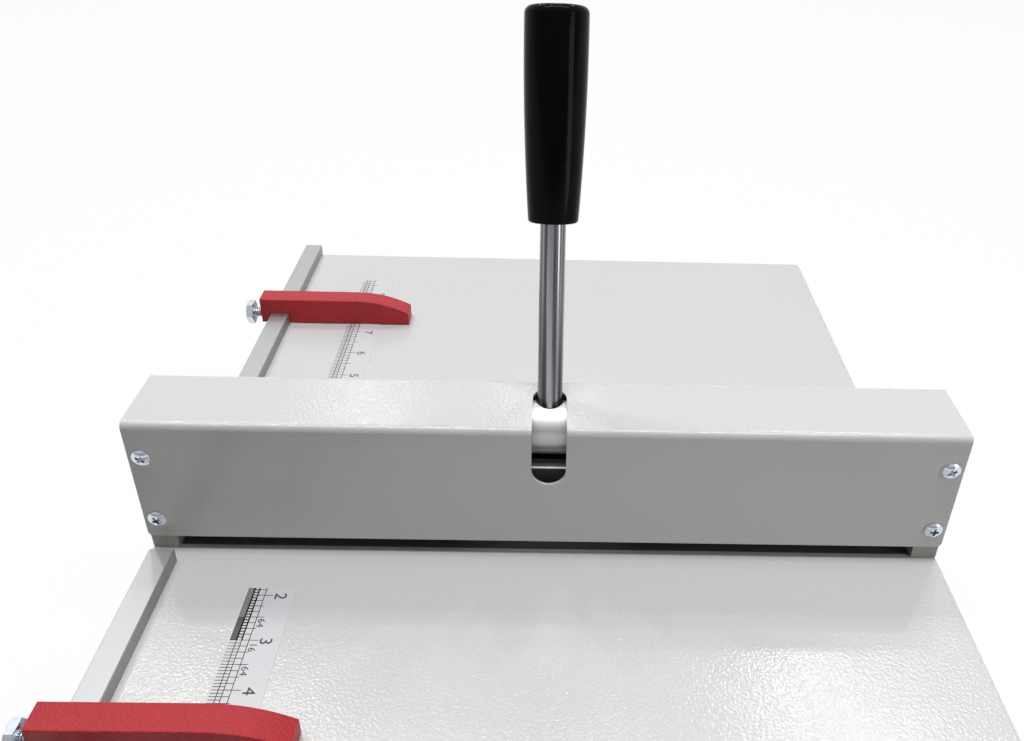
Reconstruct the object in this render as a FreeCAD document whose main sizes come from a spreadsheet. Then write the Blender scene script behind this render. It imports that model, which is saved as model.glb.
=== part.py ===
import FreeCAD, Part
import math
import os

import Sketcher

# Desktop paper creasing machine.
# Frame of the finished part: z = 0 is the desk under the rubber feet, y = 0 is the crease line
# and x = 0 is the middle of the whole width, clamp screws included.
# Every piece is drawn about the machine's own datum (middle of the table, crease line, table
# top) and carries that datum in its Placement; the lever's pieces are drawn upright about the
# pressing bar's centre and lean back together. Front is -Y, where the operator stands.

SIZES = {
    # Table: a shallow folded steel tray, open underneath
    "table_width": 362.0,
    "table_depth": 580.0,
    "tray_height": 36.0,
    "tray_sheet": 1.5,
    "tray_lip": 26.0,
    "tray_corner": 3.5,
    "tray_bend": 2.0,
    # Rubber feet under the tray's lips
    "foot_height": 10.0,
    "foot_top_radius": 11.0,
    "foot_tip_radius": 9.0,
    "foot_inset": 13.0,
    "foot_recess_radius": 4.4,
    "foot_recess_depth": 5.0,
    "foot_screw_radius": 2.0,
    "foot_screw_head_radius": 3.8,
    "foot_screw_head": 2.4,
    "foot_nut_flats": 7.0,
    "foot_nut_height": 3.2,
    "foot_screw_stub": 1.2,
    # Beam across the table: two end plates under one folded cover
    "beam_inset": 0.5,
    "beam_depth": 40.0,
    "beam_forward": 2.2,
    "plate_thickness": 12.0,
    "bar_headroom": 0.4,
    "cover_gap": 7.8,
    "cover_sheet": 1.2,
    "cover_bend": 3.0,
    "cover_corner": 2.5,
    "plate_top_round": 2.4,
    "plate_edge": 0.6,
    "slot_side_gap": 2.0,
    "slot_low_gap": 4.9,
    "slot_rear_gap": 0.6,
    # Pan-head screws that hold the cover to the end plates
    "cover_screw_low": 18.4,
    "cover_screw_drop": 17.2,
    "cover_screw_radius": 2.0,
    "cover_screw_grip": 4.2,
    "cover_screw_head_radius": 4.0,
    "cover_screw_head": 2.5,
    # Cross beam under the table, with the grooved anvil let into it
    "cross_beam_width": 44.0,
    "cross_beam_height": 20.0,
    "cross_beam_end_gap": 2.5,
    "anvil_width": 20.0,
    "anvil_height": 10.0,
    "groove_width": 1.6,
    "groove_depth": 0.9,
    "cap_screw_radius": 2.5,
    "cap_head_radius": 4.2,
    "cap_head": 5.0,
    "cap_socket_flats": 4.0,
    "cap_socket_depth": 2.5,
    "cap_recess_depth": 6.0,
    "anvil_screw_grip": 7.0,
    "plate_screw_grip": 11.0,
    "plate_screw_edge": 5.0,
    # Pressing bar: a round bar that turns about journals set off its own centre
    "bar_radius": 12.0,
    "bar_height": 56.0,
    "press_travel": 4.8,
    "press_clearance": 0.2,
    "journal_radius": 7.0,
    "bush_wall": 2.0,
    "bush_length": 9.0,
    "journal_fit": 0.03,
    "bar_end_gap": 0.4,
    "journal_chamfer": 0.8,
    # Lever
    "lever_left": 0.5,
    "rod_radius": 5.5,
    "rod_seat_depth": 7.0,
    "rod_in_grip": 55.0,
    "rod_chamfer": 1.0,
    "rod_mouth_step": 0.6,
    "rod_mouth_depth": 2.0,
    "rod_bare": 79.0,
    "grip_length": 85.6,
    "grip_belly_radius": 13.2,
    "grip_bottom_taper": 2.6,
    "grip_top_taper": 0.05,
    "grip_belly_drop": 12.0,
    "grip_top_round": 3.0,
    "grip_bottom_round": 1.5,
    "grub_radius": 2.5,
    "grub_socket_flats": 2.5,
    "grub_socket_depth": 2.0,
    "grub_sink": 0.8,
    # Blade carrier and what it holds
    "carrier_depth": 27.6,
    "carrier_edge": 0.5,
    "blade_bite": 0.4,
    "blade_thickness": 0.9,
    "blade_height": 18.0,
    "jaw_height": 13.0,
    "jaw_depth": 10.0,
    "strip_thickness": 6.0,
    "wear_strip_width": 15.9,
    "wear_strip_height": 1.5,
    "clamp_screw_radius": 2.0,
    "clamp_screw_head_radius": 3.6,
    "clamp_screw_head": 2.2,
    "clamp_screw_grip": 6.5,
    "tongue_width": 16.0,
    "tongue_drop": 5.8,
    "tongue_length": 7.0,
    "slide_fit": 0.1,
    "slide_end_gap": 0.5,
    # Return springs under the carrier's tongues
    "spring_floor": 6.0,
    "spring_wire_radius": 0.5,
    "spring_coil_radius": 2.9,
    # Guide bars along the table's left edge
    "guide_width": 11.2,
    "guide_height": 6.8,
    "guide_inset": 3.0,
    "guide_setback": 7.8,
    "guide_edge": 0.4,
    "guide_screw_radius": 2.0,
    "guide_screw_head_radius": 3.8,
    "guide_screw_head": 2.4,
    "guide_screw_grip": 4.6,
    # Sliding stops
    "stop_length": 93.0,
    "stop_depth": 13.0,
    "stop_height": 16.5,
    "stop_tip_height": 8.3,
    "stop_nose_length": 32.5,
    "stop_leg": 5.6,
    "stop_lift": 0.55,
    "stop_edge": 0.7,
    "stop_slack": 0.45,
    "stop_fit": 0.15,
    "front_stop_place": 127.0,
    "rear_stop_place": 194.2,
    # Clamp screws of the stops
    "thumb_radius": 3.0,
    "thumb_axis": 4.2,
    "thumb_head_flats": 13.0,
    "thumb_head": 4.4,
    "thumb_gap": 5.6,
    "thumb_chamfer": 0.9,
    "thumb_tip_gap": 0.05,
    # Rule strips stuck on the table
    "rule_width": 21.8,
    "rule_inset": 49.9,
    "rule_start": 46.5,
    "rule_end": 249.0,
    "rule_thickness": 0.25,
    # Fits shared by pieces that are fastened together
    "screw_fit": 0.1,
    "seat_gap": 0.1,
    "overrun": 5.0,
}

# Counts, shares and angles
LEVER_LEAN = math.radians(17)
LEVER_SWING = math.pi / 2 + LEVER_LEAN
SPRING_TURNS = 6
CLAMP_SCREW_SHARES = (-0.88, -0.44, 0.0, 0.44, 0.88)
ANVIL_SCREW_SHARES = (-0.78, -0.27, 0.27, 0.78)
GUIDE_SCREW_SHARES = (0.08, 0.5, 0.92)

doc = FreeCAD.newDocument("paper_creasing_machine")
sheet = doc.addObject("Spreadsheet::Sheet", "sizes")


class Size:
    """A length with its value in millimetres and the sheet expression that gives it."""

    def __init__(self, value, text):
        self.value = value
        self.text = text

    def _join(self, other, sign, value):
        text = other.text if isinstance(other, Size) else repr(other)
        return Size(value, f"({self.text} {sign} {text})")

    def __add__(self, other):
        return self._join(other, "+", self.value + number(other))

    def __sub__(self, other):
        return self._join(other, "-", self.value - number(other))

    def __mul__(self, other):
        return self._join(other, "*", self.value * number(other))

    def __truediv__(self, other):
        return self._join(other, "/", self.value / number(other))

    def __neg__(self):
        return Size(-self.value, f"(0 - {self.text})")

    def __rmul__(self, other):
        return self * other


class Sizes:
    """The sheet's cells as Size attributes."""


def number(size):
    return size.value if isinstance(size, Size) else size


def fill_sheet():
    sizes = Sizes()
    for row, (alias, value) in enumerate(SIZES.items(), start=1):
        sheet.set(f"A{row}", alias)
        sheet.set(f"B{row}", str(value))
        sheet.setAlias(f"B{row}", alias)
        setattr(sizes, alias, Size(value, f"sizes.{alias}"))
    doc.recompute()
    return sizes


s = fill_sheet()

# Places worked out from the sizes, in the machine's own datum
half_table = s.table_width / 2
half_depth = s.table_depth / 2
sheet_under = -s.tray_sheet
tray_bottom = -s.tray_height
foot_bottom = tray_bottom - s.foot_height

half_beam = half_table - s.beam_inset
beam_middle = -s.beam_forward
beam_front = beam_middle - s.beam_depth / 2
beam_rear = beam_middle + s.beam_depth / 2
plate_inner = half_beam - s.plate_thickness
plate_middle = half_beam - s.plate_thickness / 2
plate_front = beam_front + s.cover_sheet
plate_rear = beam_rear - s.cover_sheet
plate_top = s.bar_height + s.bar_radius + s.bar_headroom
cover_top = plate_top + s.cover_sheet
cover_screw_rows = (s.cover_screw_low, cover_top - s.cover_screw_drop)

bar_end = plate_inner - s.bar_end_gap
# The journals stand behind and below the bar's centre, which swings from above them to below
bar_offset = s.press_travel / 2
axis_height = s.bar_height - bar_offset
axis_back = bar_offset / math.tan(LEVER_SWING / 2)
bush_radius = s.journal_radius + s.bush_wall

# The lever's pieces are drawn about the bar's centre, with the rod along their own z
lever_x = -s.lever_left
grip_bottom = s.bar_radius + s.rod_bare
grip_top = grip_bottom + s.grip_length

# Pulled right over, the rod lies level, a bar offset under the journals' axis
half_slot = s.rod_radius + s.slot_side_gap
slot_low = axis_height - bar_offset - s.rod_radius - s.slot_low_gap
rod_rear = (cover_top - s.bar_height) * math.tan(LEVER_LEAN) + s.rod_radius / math.cos(LEVER_LEAN)
slot_rear = rod_rear + s.slot_rear_gap

carrier_top = s.bar_height - s.bar_radius - s.press_clearance
carrier_half = s.carrier_depth / 2
carrier_end = plate_inner - s.bar_end_gap
blade_edge = s.press_travel - s.blade_bite
shoulder = blade_edge + s.blade_height
jaw_bottom = shoulder - s.jaw_height
half_blade = s.blade_thickness / 2
strip_front = -(half_blade + s.strip_thickness)
jaw_middle = shoulder - s.jaw_height / 2
tongue_top = carrier_top - s.tongue_drop
slide_depth = s.tongue_length + s.slide_end_gap

guide_left = s.guide_inset - half_table
guide_right = guide_left + s.guide_width
guide_near_front = beam_front - s.guide_setback
guide_near_rear = beam_rear + s.guide_setback

notch_left = guide_left - s.stop_slack
notch_right = guide_right + s.stop_fit
stop_left = notch_left - s.stop_leg
stop_right = stop_left + s.stop_length
thumb_head_near = stop_left - s.thumb_gap
thumb_head_far = thumb_head_near - s.thumb_head

# The machine's middle stands right of x = 0 by half of what the clamp screws overhang
middle_x = (-thumb_head_far - half_table) / 2
table_top = s.tray_height + s.foot_height


def place(piece, x=None, y=None, z=None):
    """Puts a piece at a point of the machine's datum."""
    for letter, base, extra in (("x", middle_x, x), ("y", None, y), ("z", table_top, z)):
        spot = base if extra is None else extra if base is None else base + extra
        if spot is not None:
            piece.setExpression(f"Placement.Base.{letter}", spot.text)


def new_body(label):
    body = doc.addObject("PartDesign::Body", label)
    body.Label = label
    place(body)
    return body


def lever_body(label, x=None):
    """A body at the bar's centre that leans back with the lever."""
    body = new_body(label)
    body.Placement.Rotation = FreeCAD.Rotation(FreeCAD.Vector(1, 0, 0), -math.degrees(LEVER_LEAN))
    place(body, x=x, z=s.bar_height)
    return body


PLANES = {"X": "YZ_Plane", "Y": "XZ_Plane", "Z": "XY_Plane"}


def new_sketch(body, axis, level):
    """A sketch square to an axis of the body, at a coordinate along that axis."""
    sketch = body.newObject("Sketcher::SketchObject", f"{body.Name}_sketch")
    support = [item for item in body.Origin.OriginFeatures if item.Role == PLANES[axis]]
    sketch.AttachmentSupport = [(support[0], "")]
    sketch.MapMode = "FlatFace"
    if isinstance(level, Size):
        lift = -level if axis == "Y" else level
        sketch.AttachmentOffset = FreeCAD.Placement(FreeCAD.Vector(0, 0, lift.value), FreeCAD.Rotation())
        sketch.setExpression("AttachmentOffset.Base.z", lift.text)
    return sketch


def pin(sketch, kind, geometry, corner, size):
    """Holds one coordinate of a sketch point to a size, or to the origin's axis where it is zero."""
    if isinstance(size, Size):
        value = size.value
        constraint = Sketcher.Constraint(kind, -1, 1, geometry, corner, value)
        index = sketch.addConstraint(constraint)
        sketch.setExpression(f"Constraints[{index}]", size.text)
    else:
        through = -2 if kind == "DistanceX" else -1
        sketch.addConstraint(Sketcher.Constraint("PointOnObject", geometry, corner, through))


def outline(sketch, points):
    """A closed outline. A point (u, v) starts a line and (u, v, radius) an arc to the next point;
    a positive radius has its centre on the left of the way round, a negative one on the right."""
    spots = [FreeCAD.Vector(number(point[0]), number(point[1]), 0) for point in points]
    ends = []
    for index, point in enumerate(points):
        start = spots[index]
        finish = spots[(index + 1) % len(points)]
        if len(point) == 2:
            edge = sketch.addGeometry(Part.LineSegment(start, finish), False)
            ends.append((edge, 1, 2))
            continue
        radius = abs(number(point[2]))
        left_turn = number(point[2]) > 0
        chord = finish - start
        side = FreeCAD.Vector(-chord.y, chord.x, 0) / chord.Length * (1 if left_turn else -1)
        centre = (start + finish) / 2 + side * math.sqrt(radius**2 - (chord.Length / 2) ** 2)
        first, last = (start, finish) if left_turn else (finish, start)
        angles = [math.atan2(spot.y - centre.y, spot.x - centre.x) for spot in (first, last)]
        circle = Part.Circle(centre, FreeCAD.Vector(0, 0, 1), radius)
        edge = sketch.addGeometry(Part.ArcOfCircle(circle, *angles), False)
        ends.append((edge, 1, 2) if left_turn else (edge, 2, 1))
        bend = sketch.addConstraint(Sketcher.Constraint("Radius", edge, radius))
        size = point[2] if left_turn else -point[2]
        sketch.setExpression(f"Constraints[{bend}]", size.text)
    for index, point in enumerate(points):
        edge, start, _ = ends[index]
        before, _, finish = ends[index - 1]
        sketch.addConstraint(Sketcher.Constraint("Coincident", before, finish, edge, start))
        pin(sketch, "DistanceX", edge, start, point[0])
        pin(sketch, "DistanceY", edge, start, point[1])


def rectangle(left, right, low, high):
    """Draws a rectangle between two pairs of coordinates."""
    return lambda sketch: outline(sketch, [(left, low), (right, low), (right, high), (left, high)])


def circles(radius, centres):
    """Draws equal circles."""

    def draw(sketch):
        for across, up in centres:
            spot = FreeCAD.Vector(number(across), number(up), 0)
            ring = sketch.addGeometry(Part.Circle(spot, FreeCAD.Vector(0, 0, 1), radius.value), False)
            pin(sketch, "DistanceX", ring, 3, across)
            pin(sketch, "DistanceY", ring, 3, up)
            bend = sketch.addConstraint(Sketcher.Constraint("Radius", ring, radius.value))
            sketch.setExpression(f"Constraints[{bend}]", radius.text)

    return draw


def slab(body, axis, low, high, draw, cut=False):
    """Adds, or cuts away, what a drawing sweeps from one coordinate to another along an axis."""
    sketch = new_sketch(body, axis, high if axis == "Y" else low)
    draw(sketch)
    feature = body.newObject("PartDesign::Pocket" if cut else "PartDesign::Pad", f"{body.Name}_slab")
    feature.Profile = sketch
    length = high - low if isinstance(high, Size) else -low
    feature.Length = length.value
    feature.setExpression("Length", length.text)
    feature.Reversed = cut
    sketch.Visibility = False
    return feature


def turned(body, points):
    """Adds what an outline of radius and height sweeps round the body's upright axis."""
    sketch = new_sketch(body, "Y", 0)
    outline(sketch, points)
    feature = body.newObject("PartDesign::Revolution", f"{body.Name}_turned")
    feature.Profile = sketch
    feature.ReferenceAxis = (sketch, ["V_Axis"])
    return feature


def ease(body, kind, size, choose):
    """Rounds or chamfers the edges that a test picks."""
    doc.recompute()
    base = body.Tip
    names = [f"Edge{n}" for n, edge in enumerate(base.Shape.Edges, start=1) if choose(edge)]
    if not names:
        raise RuntimeError(f"{body.Label}: no edge to ease")
    feature = body.newObject(f"PartDesign::{kind}", f"{body.Name}_{kind.lower()}")
    feature.Base = (base, names)
    feature.setExpression("Radius" if kind == "Fillet" else "Size", size.text)
    return feature


TINY = 1e-4


def near(value, size):
    return abs(value - number(size)) < TINY


def along(edge, direction):
    """True for a straight edge that runs along a direction."""
    if not isinstance(edge.Curve, Part.Line) and edge.Curve.TypeId != "Part::GeomLine":
        return False
    tangent = edge.tangentAt(edge.FirstParameter)
    return abs(abs(tangent.dot(direction)) - 1) < TINY


ALONG_X = FreeCAD.Vector(1, 0, 0)
ALONG_Y = FreeCAD.Vector(0, 1, 0)
ALONG_Z = FreeCAD.Vector(0, 0, 1)


def table_tray():
    body = new_body("table_tray")
    slab(body, "Z", tray_bottom, 0, rectangle(-half_table, half_table, -half_depth, half_depth))
    ease(body, "Fillet", s.tray_corner, lambda edge: along(edge, ALONG_Z))
    ease(body, "Fillet", s.tray_bend, lambda edge: near(edge.BoundBox.ZMin, 0))
    wide = half_table - s.tray_sheet
    deep = half_depth - s.tray_sheet
    hollow = rectangle(-wide, wide, -deep, deep)
    slab(body, "Z", tray_bottom + s.tray_sheet, sheet_under, hollow, cut=True)
    lip_x = half_table - s.tray_lip
    lip_y = half_depth - s.tray_lip
    mouth = tray_bottom - s.overrun
    slab(body, "Z", mouth, tray_bottom + s.tray_sheet, rectangle(-lip_x, lip_x, -lip_y, lip_y), cut=True)
    # Slot for the anvil, then holes for the screws that come up from below
    gap = s.seat_gap
    anvil_x = plate_inner + gap
    anvil_y = s.anvil_width / 2 + gap
    up = s.overrun - s.tray_sheet
    through = (
        rectangle(-anvil_x, anvil_x, -anvil_y, anvil_y),
        circles(s.cap_screw_radius + s.screw_fit, plate_screw_spots()),
        circles(s.guide_screw_radius + s.screw_fit, guide_screw_spots()),
    )
    for draw in through:
        slab(body, "Z", sheet_under * 2, up, draw, cut=True)
    holes = circles(s.foot_screw_radius + s.screw_fit, foot_spots())
    slab(body, "Z", mouth, tray_bottom + s.tray_sheet * 2, holes, cut=True)
    return body


def foot_spots():
    across = half_table - s.foot_inset
    along_y = half_depth - s.foot_inset
    return [(side * across, end * along_y) for end in (-1, 1) for side in (-1, 1)]


def plate_screw_spots():
    """The end plates' screws: two in each plate, near its front and rear edges."""
    across = plate_inner + s.plate_screw_edge
    rows = (plate_front + s.plate_screw_edge, plate_rear - s.plate_screw_edge)
    return [(side * across, row) for side in (-1, 1) for row in rows]


def guide_screw_spots():
    across = guide_left + s.guide_width / 2
    length_front = guide_near_front + half_depth
    length_rear = half_depth - guide_near_rear
    front = [(across, guide_near_front - length_front * share) for share in GUIDE_SCREW_SHARES]
    rear = [(across, guide_near_rear + length_rear * share) for share in GUIDE_SCREW_SHARES]
    return front + rear


def anvil_screw_spots():
    return [(plate_inner * share, 0) for share in ANVIL_SCREW_SHARES]


def foot(label, across, along_y):
    body = new_body(label)
    place(body, x=across, y=along_y)
    hole = s.foot_screw_radius + s.screw_fit
    recess = foot_bottom + s.foot_recess_depth
    points = [
        (hole, tray_bottom),
        (hole, recess),
        (s.foot_recess_radius, recess),
        (s.foot_recess_radius, foot_bottom),
        (s.foot_tip_radius, foot_bottom),
        (s.foot_top_radius, tray_bottom),
    ]
    turned(body, points)
    return body


def cross_beam():
    body = new_body("cross_beam")
    end = half_table - s.cross_beam_end_gap
    half_width = s.cross_beam_width / 2
    low = sheet_under - s.cross_beam_height
    front = beam_middle - half_width
    rear = beam_middle + half_width
    slab(body, "Z", low, sheet_under, rectangle(-end, end, front, rear))
    gap = s.seat_gap
    wide = plate_inner + gap
    deep = s.anvil_width / 2 + gap
    high = sheet_under + s.overrun
    slab(body, "Z", -s.anvil_height, high, rectangle(-wide, wide, -deep, deep), cut=True)
    spots = plate_screw_spots() + anvil_screw_spots()
    under = low - s.overrun
    slab(body, "Z", under, high, circles(s.cap_screw_radius + s.screw_fit, spots), cut=True)
    recess = low + s.cap_recess_depth
    slab(body, "Z", under, recess, circles(s.cap_head_radius + s.screw_fit, spots), cut=True)
    return body


def anvil_bar():
    body = new_body("anvil_bar")
    half_width = s.anvil_width / 2
    half_groove = s.groove_width / 2
    slab(body, "Z", -s.anvil_height, 0, rectangle(-plate_inner, plate_inner, -half_width, half_width))
    end = plate_inner + s.overrun
    slab(body, "Z", -s.groove_depth, s.overrun, rectangle(-end, end, -half_groove, half_groove), cut=True)
    holes = circles(s.cap_screw_radius + s.screw_fit, anvil_screw_spots())
    deep = s.anvil_screw_grip + s.seat_gap * 2
    slab(body, "Z", -s.anvil_height - s.overrun, deep - s.anvil_height, holes, cut=True)
    return body


def end_plate(label, side):
    """A thick upright plate with a blind bore for the bush and a blind slide for the carrier."""
    body = new_body(label)
    low = plate_inner if side > 0 else -half_beam
    high = half_beam if side > 0 else -plate_inner
    slab(body, "X", low, high, rectangle(plate_front, plate_rear, 0, plate_top))
    outer = side * half_beam

    def upper(edge):
        return along(edge, ALONG_X) and near(edge.BoundBox.ZMin, plate_top)

    def outside(edge):
        return near(edge.BoundBox.XMin, outer) and near(edge.BoundBox.XMax, outer)

    ease(body, "Fillet", s.plate_top_round, upper)
    ease(body, "Chamfer", s.plate_edge, outside)

    def blind(depth):
        """From past the plate's inner face to a depth in it, as low and high coordinates."""
        mouth = side * (plate_inner - s.overrun)
        floor = side * (plate_inner + depth)
        return (mouth, floor) if side > 0 else (floor, mouth)

    bore = circles(bush_radius, [(axis_back, axis_height)])
    slab(body, "X", *blind(s.bush_length), bore, cut=True)
    half_slide = s.tongue_width / 2 + s.slide_fit
    slide = rectangle(-half_slide, half_slide, s.spring_floor, tongue_top + s.slide_end_gap)
    slab(body, "X", *blind(slide_depth), slide, cut=True)
    spots = [spot for spot in plate_screw_spots() if number(spot[0]) * side > 0]
    reach = s.plate_screw_grip + s.seat_gap * 2
    slab(body, "Z", -s.overrun, reach, circles(s.cap_screw_radius + s.screw_fit, spots), cut=True)
    rows = [(side * plate_middle, height) for height in cover_screw_rows]
    hole = circles(s.cover_screw_radius + s.screw_fit, rows)
    depth = s.cover_screw_grip + s.seat_gap * 2
    slab(body, "Y", plate_front - s.overrun, plate_front + depth, hole, cut=True)
    slab(body, "Y", plate_rear - depth, plate_rear + s.overrun, hole, cut=True)
    return body


def beam_cover():
    """One folded sheet: front, top and rear, with the lever's slot across the front bend."""
    body = new_body("beam_cover")
    profile = [
        (beam_front, s.cover_gap),
        (beam_front + s.cover_sheet, s.cover_gap),
        (beam_front + s.cover_sheet, plate_top),
        (beam_rear - s.cover_sheet, plate_top),
        (beam_rear - s.cover_sheet, s.cover_gap),
        (beam_rear, s.cover_gap),
        (beam_rear, cover_top),
        (beam_front, cover_top),
    ]
    slab(body, "X", -half_beam, half_beam, lambda sketch: outline(sketch, profile))

    def bend(height):
        return lambda edge: along(edge, ALONG_X) and near(edge.BoundBox.ZMin, height)

    def corner(edge):
        return along(edge, ALONG_Y) and near(edge.BoundBox.ZMin, s.cover_gap)

    ease(body, "Fillet", s.cover_bend, bend(cover_top))
    ease(body, "Fillet", s.cover_bend - s.cover_sheet, bend(plate_top))
    ease(body, "Fillet", s.cover_corner, corner)
    out = beam_front - s.overrun
    behind_bend = beam_front + s.cover_bend
    over = cover_top + s.overrun
    low_centre = slot_low + half_slot
    rear_centre = slot_rear - half_slot
    left = lever_x - half_slot
    right = lever_x + half_slot
    slab(body, "Y", out, behind_bend, rectangle(left, right, low_centre, over), cut=True)
    slab(body, "Y", out, behind_bend, circles(half_slot, [(lever_x, low_centre)]), cut=True)
    below_top = cover_top - s.cover_bend
    slab(body, "Z", below_top, over, rectangle(left, right, out, rear_centre), cut=True)
    slab(body, "Z", below_top, over, circles(half_slot, [(lever_x, rear_centre)]), cut=True)
    rows = [(side * plate_middle, height) for side in (-1, 1) for height in cover_screw_rows]
    holes = circles(s.cover_screw_radius + s.screw_fit, rows)
    slab(body, "Y", out, behind_bend, holes, cut=True)
    slab(body, "Y", beam_rear - s.cover_bend, beam_rear + s.overrun, holes, cut=True)
    return body


def press_shaft():
    """The pressing bar with a journal at each end, set back and down from the bar's centre."""
    body = lever_body("press_shaft")
    slab(body, "X", -bar_end, bar_end, circles(s.bar_radius, [(0, 0)]))
    journal_end = plate_inner + s.bush_length - s.seat_gap * 2
    # The journals' place as the leaning body sees it
    lean_in = math.sin(LEVER_LEAN)
    lean_up = math.cos(LEVER_LEAN)
    centre = (axis_back * lean_up + bar_offset * lean_in, axis_back * lean_in - bar_offset * lean_up)
    journal = circles(s.journal_radius, [centre])
    slab(body, "X", bar_end, journal_end, journal)
    slab(body, "X", -journal_end, -bar_end, journal)
    ease(body, "Chamfer", s.journal_chamfer, lambda edge: near(abs(edge.BoundBox.XMin), journal_end))
    rod_hole = circles(s.rod_radius + s.seat_gap / 5, [(lever_x, 0)])
    over = s.bar_radius + s.overrun
    slab(body, "Z", -s.rod_seat_depth, over, rod_hole, cut=True)
    mouth = circles(s.rod_radius + s.rod_mouth_step, [(lever_x, 0)])
    slab(body, "Z", s.bar_radius - s.rod_mouth_depth, over, mouth, cut=True)
    grub_hole = circles(s.grub_radius + s.seat_gap / 5, [(lever_x, 0)])
    slab(body, "Y", s.rod_radius / 2, over, grub_hole, cut=True)
    return body


def bush(label, side):
    body = new_body(label)
    near_end = plate_inner
    far_end = plate_inner + s.bush_length
    low, high = (near_end, far_end) if side > 0 else (-far_end, -near_end)
    centre = [(axis_back, axis_height)]
    slab(body, "X", low, high, circles(bush_radius, centre))
    reach_low = low - s.overrun
    reach_high = high + s.overrun
    slab(body, "X", reach_low, reach_high, circles(s.journal_radius + s.journal_fit, centre), cut=True)
    return body


def lever_rod():
    body = lever_body("lever_rod", lever_x)
    low = -s.rod_seat_depth
    high = grip_bottom + s.rod_in_grip
    edge = s.rod_radius - s.rod_chamfer
    points = [
        (0, low),
        (edge, low),
        (s.rod_radius, low + s.rod_chamfer),
        (s.rod_radius, high - s.rod_chamfer),
        (edge, high),
        (0, high),
    ]
    turned(body, points)
    return body


def flank_radius(run, rise):
    """Radius of an arc that starts along a line and leaves it by a rise over a run."""
    return (run * run + rise * rise) / (rise * 2)


def lever_grip():
    """A turned handle: narrow at the bottom, widest near the top, which is rounded."""
    body = lever_body("lever_grip", lever_x)
    belly = grip_top - s.grip_belly_drop
    bottom_radius = s.grip_belly_radius - s.grip_bottom_taper
    top_radius = s.grip_belly_radius - s.grip_top_taper
    lower = s.grip_length - s.grip_belly_drop
    upper = s.grip_belly_drop - s.grip_top_round
    hole = s.rod_radius + s.seat_gap / 5
    roof = grip_bottom + s.rod_in_grip + s.seat_gap
    # The flanks are arcs that run upright at the belly
    lower_bend = flank_radius(lower, s.grip_bottom_taper)
    upper_bend = flank_radius(upper, s.grip_top_taper)
    points = [
        (hole, grip_bottom),
        (bottom_radius, grip_bottom, lower_bend),
        (s.grip_belly_radius, belly, upper_bend),
        (top_radius, belly + upper, s.grip_top_round),
        (top_radius - s.grip_top_round, grip_top),
        (0, grip_top),
        (0, roof),
        (hole, roof),
    ]
    turned(body, points)

    def rim(edge):
        box = edge.BoundBox
        return near(box.ZMax, grip_bottom) and near(box.XMax, bottom_radius)

    ease(body, "Fillet", s.grip_bottom_round, rim)
    return body


def rod_grub_screw():
    """Headless screw that locks the rod in the bar."""
    body = lever_body("rod_grub_screw", lever_x)
    tip = s.rod_radius
    tail = s.bar_radius - s.grub_sink
    slab(body, "Y", tip, tail, circles(s.grub_radius, [(0, 0)]))
    socket = hexagon(s.grub_socket_flats, (0, 0))
    slab(body, "Y", tail - s.grub_socket_depth, tail + s.overrun, socket, cut=True)
    return body


def hexagon(flats, centre):
    """Draws a regular hexagon, two of its sides upright, from its width across flats."""
    half = flats / 2
    corner = flats / math.sqrt(3)
    turns = ((1, -0.5), (1, 0.5), (0, 1), (-1, 0.5), (-1, -0.5), (0, -1))

    def spot(turn):
        across = half * turn[0] if turn[0] else 0
        if isinstance(centre[0], Size):
            across = centre[0] + across
        up = corner * turn[1]
        if isinstance(centre[1], Size):
            up = centre[1] + up
        return across, up

    return lambda sketch: outline(sketch, [spot(turn) for turn in turns])


def blade_carrier():
    """The heavy bar that the pressing bar bears on, with a rear jaw for the blade and end tongues."""
    body = new_body("blade_carrier")
    profile = [
        (-carrier_half, shoulder),
        (half_blade, shoulder),
        (half_blade, jaw_bottom),
        (half_blade + s.jaw_depth, jaw_bottom),
        (half_blade + s.jaw_depth, shoulder),
        (carrier_half, shoulder),
        (carrier_half, carrier_top),
        (-carrier_half, carrier_top),
    ]
    slab(body, "X", -carrier_end, carrier_end, lambda sketch: outline(sketch, profile))

    def upper(edge):
        return along(edge, ALONG_X) and near(edge.BoundBox.ZMin, carrier_top)

    ease(body, "Chamfer", s.carrier_edge, upper)
    half_tongue = s.tongue_width / 2
    tongue = rectangle(-half_tongue, half_tongue, shoulder, tongue_top)
    tongue_end = plate_inner + s.tongue_length
    slab(body, "X", carrier_end, tongue_end, tongue)
    slab(body, "X", -tongue_end, -carrier_end, tongue)
    half_strip = s.wear_strip_width / 2 + s.seat_gap / 5
    end = carrier_end + s.overrun
    floor = carrier_top - s.wear_strip_height
    channel = rectangle(-end, end, -half_strip, half_strip)
    slab(body, "Z", floor, carrier_top + s.overrun, channel, cut=True)
    depth = half_blade + s.clamp_screw_grip + s.seat_gap * 2
    holes = circles(s.clamp_screw_radius + s.screw_fit, clamp_screw_spots())
    slab(body, "Y", -s.overrun, depth, holes, cut=True)
    return body


def clamp_screw_spots():
    return [(carrier_end * share if share else 0, jaw_middle) for share in CLAMP_SCREW_SHARES]


def wear_strip():
    """Hard strip let into the carrier's top, where the pressing bar rubs."""
    body = new_body("wear_strip")
    half = s.wear_strip_width / 2
    floor = carrier_top - s.wear_strip_height
    slab(body, "Z", floor, carrier_top, rectangle(-carrier_end, carrier_end, -half, half))
    return body


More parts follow.
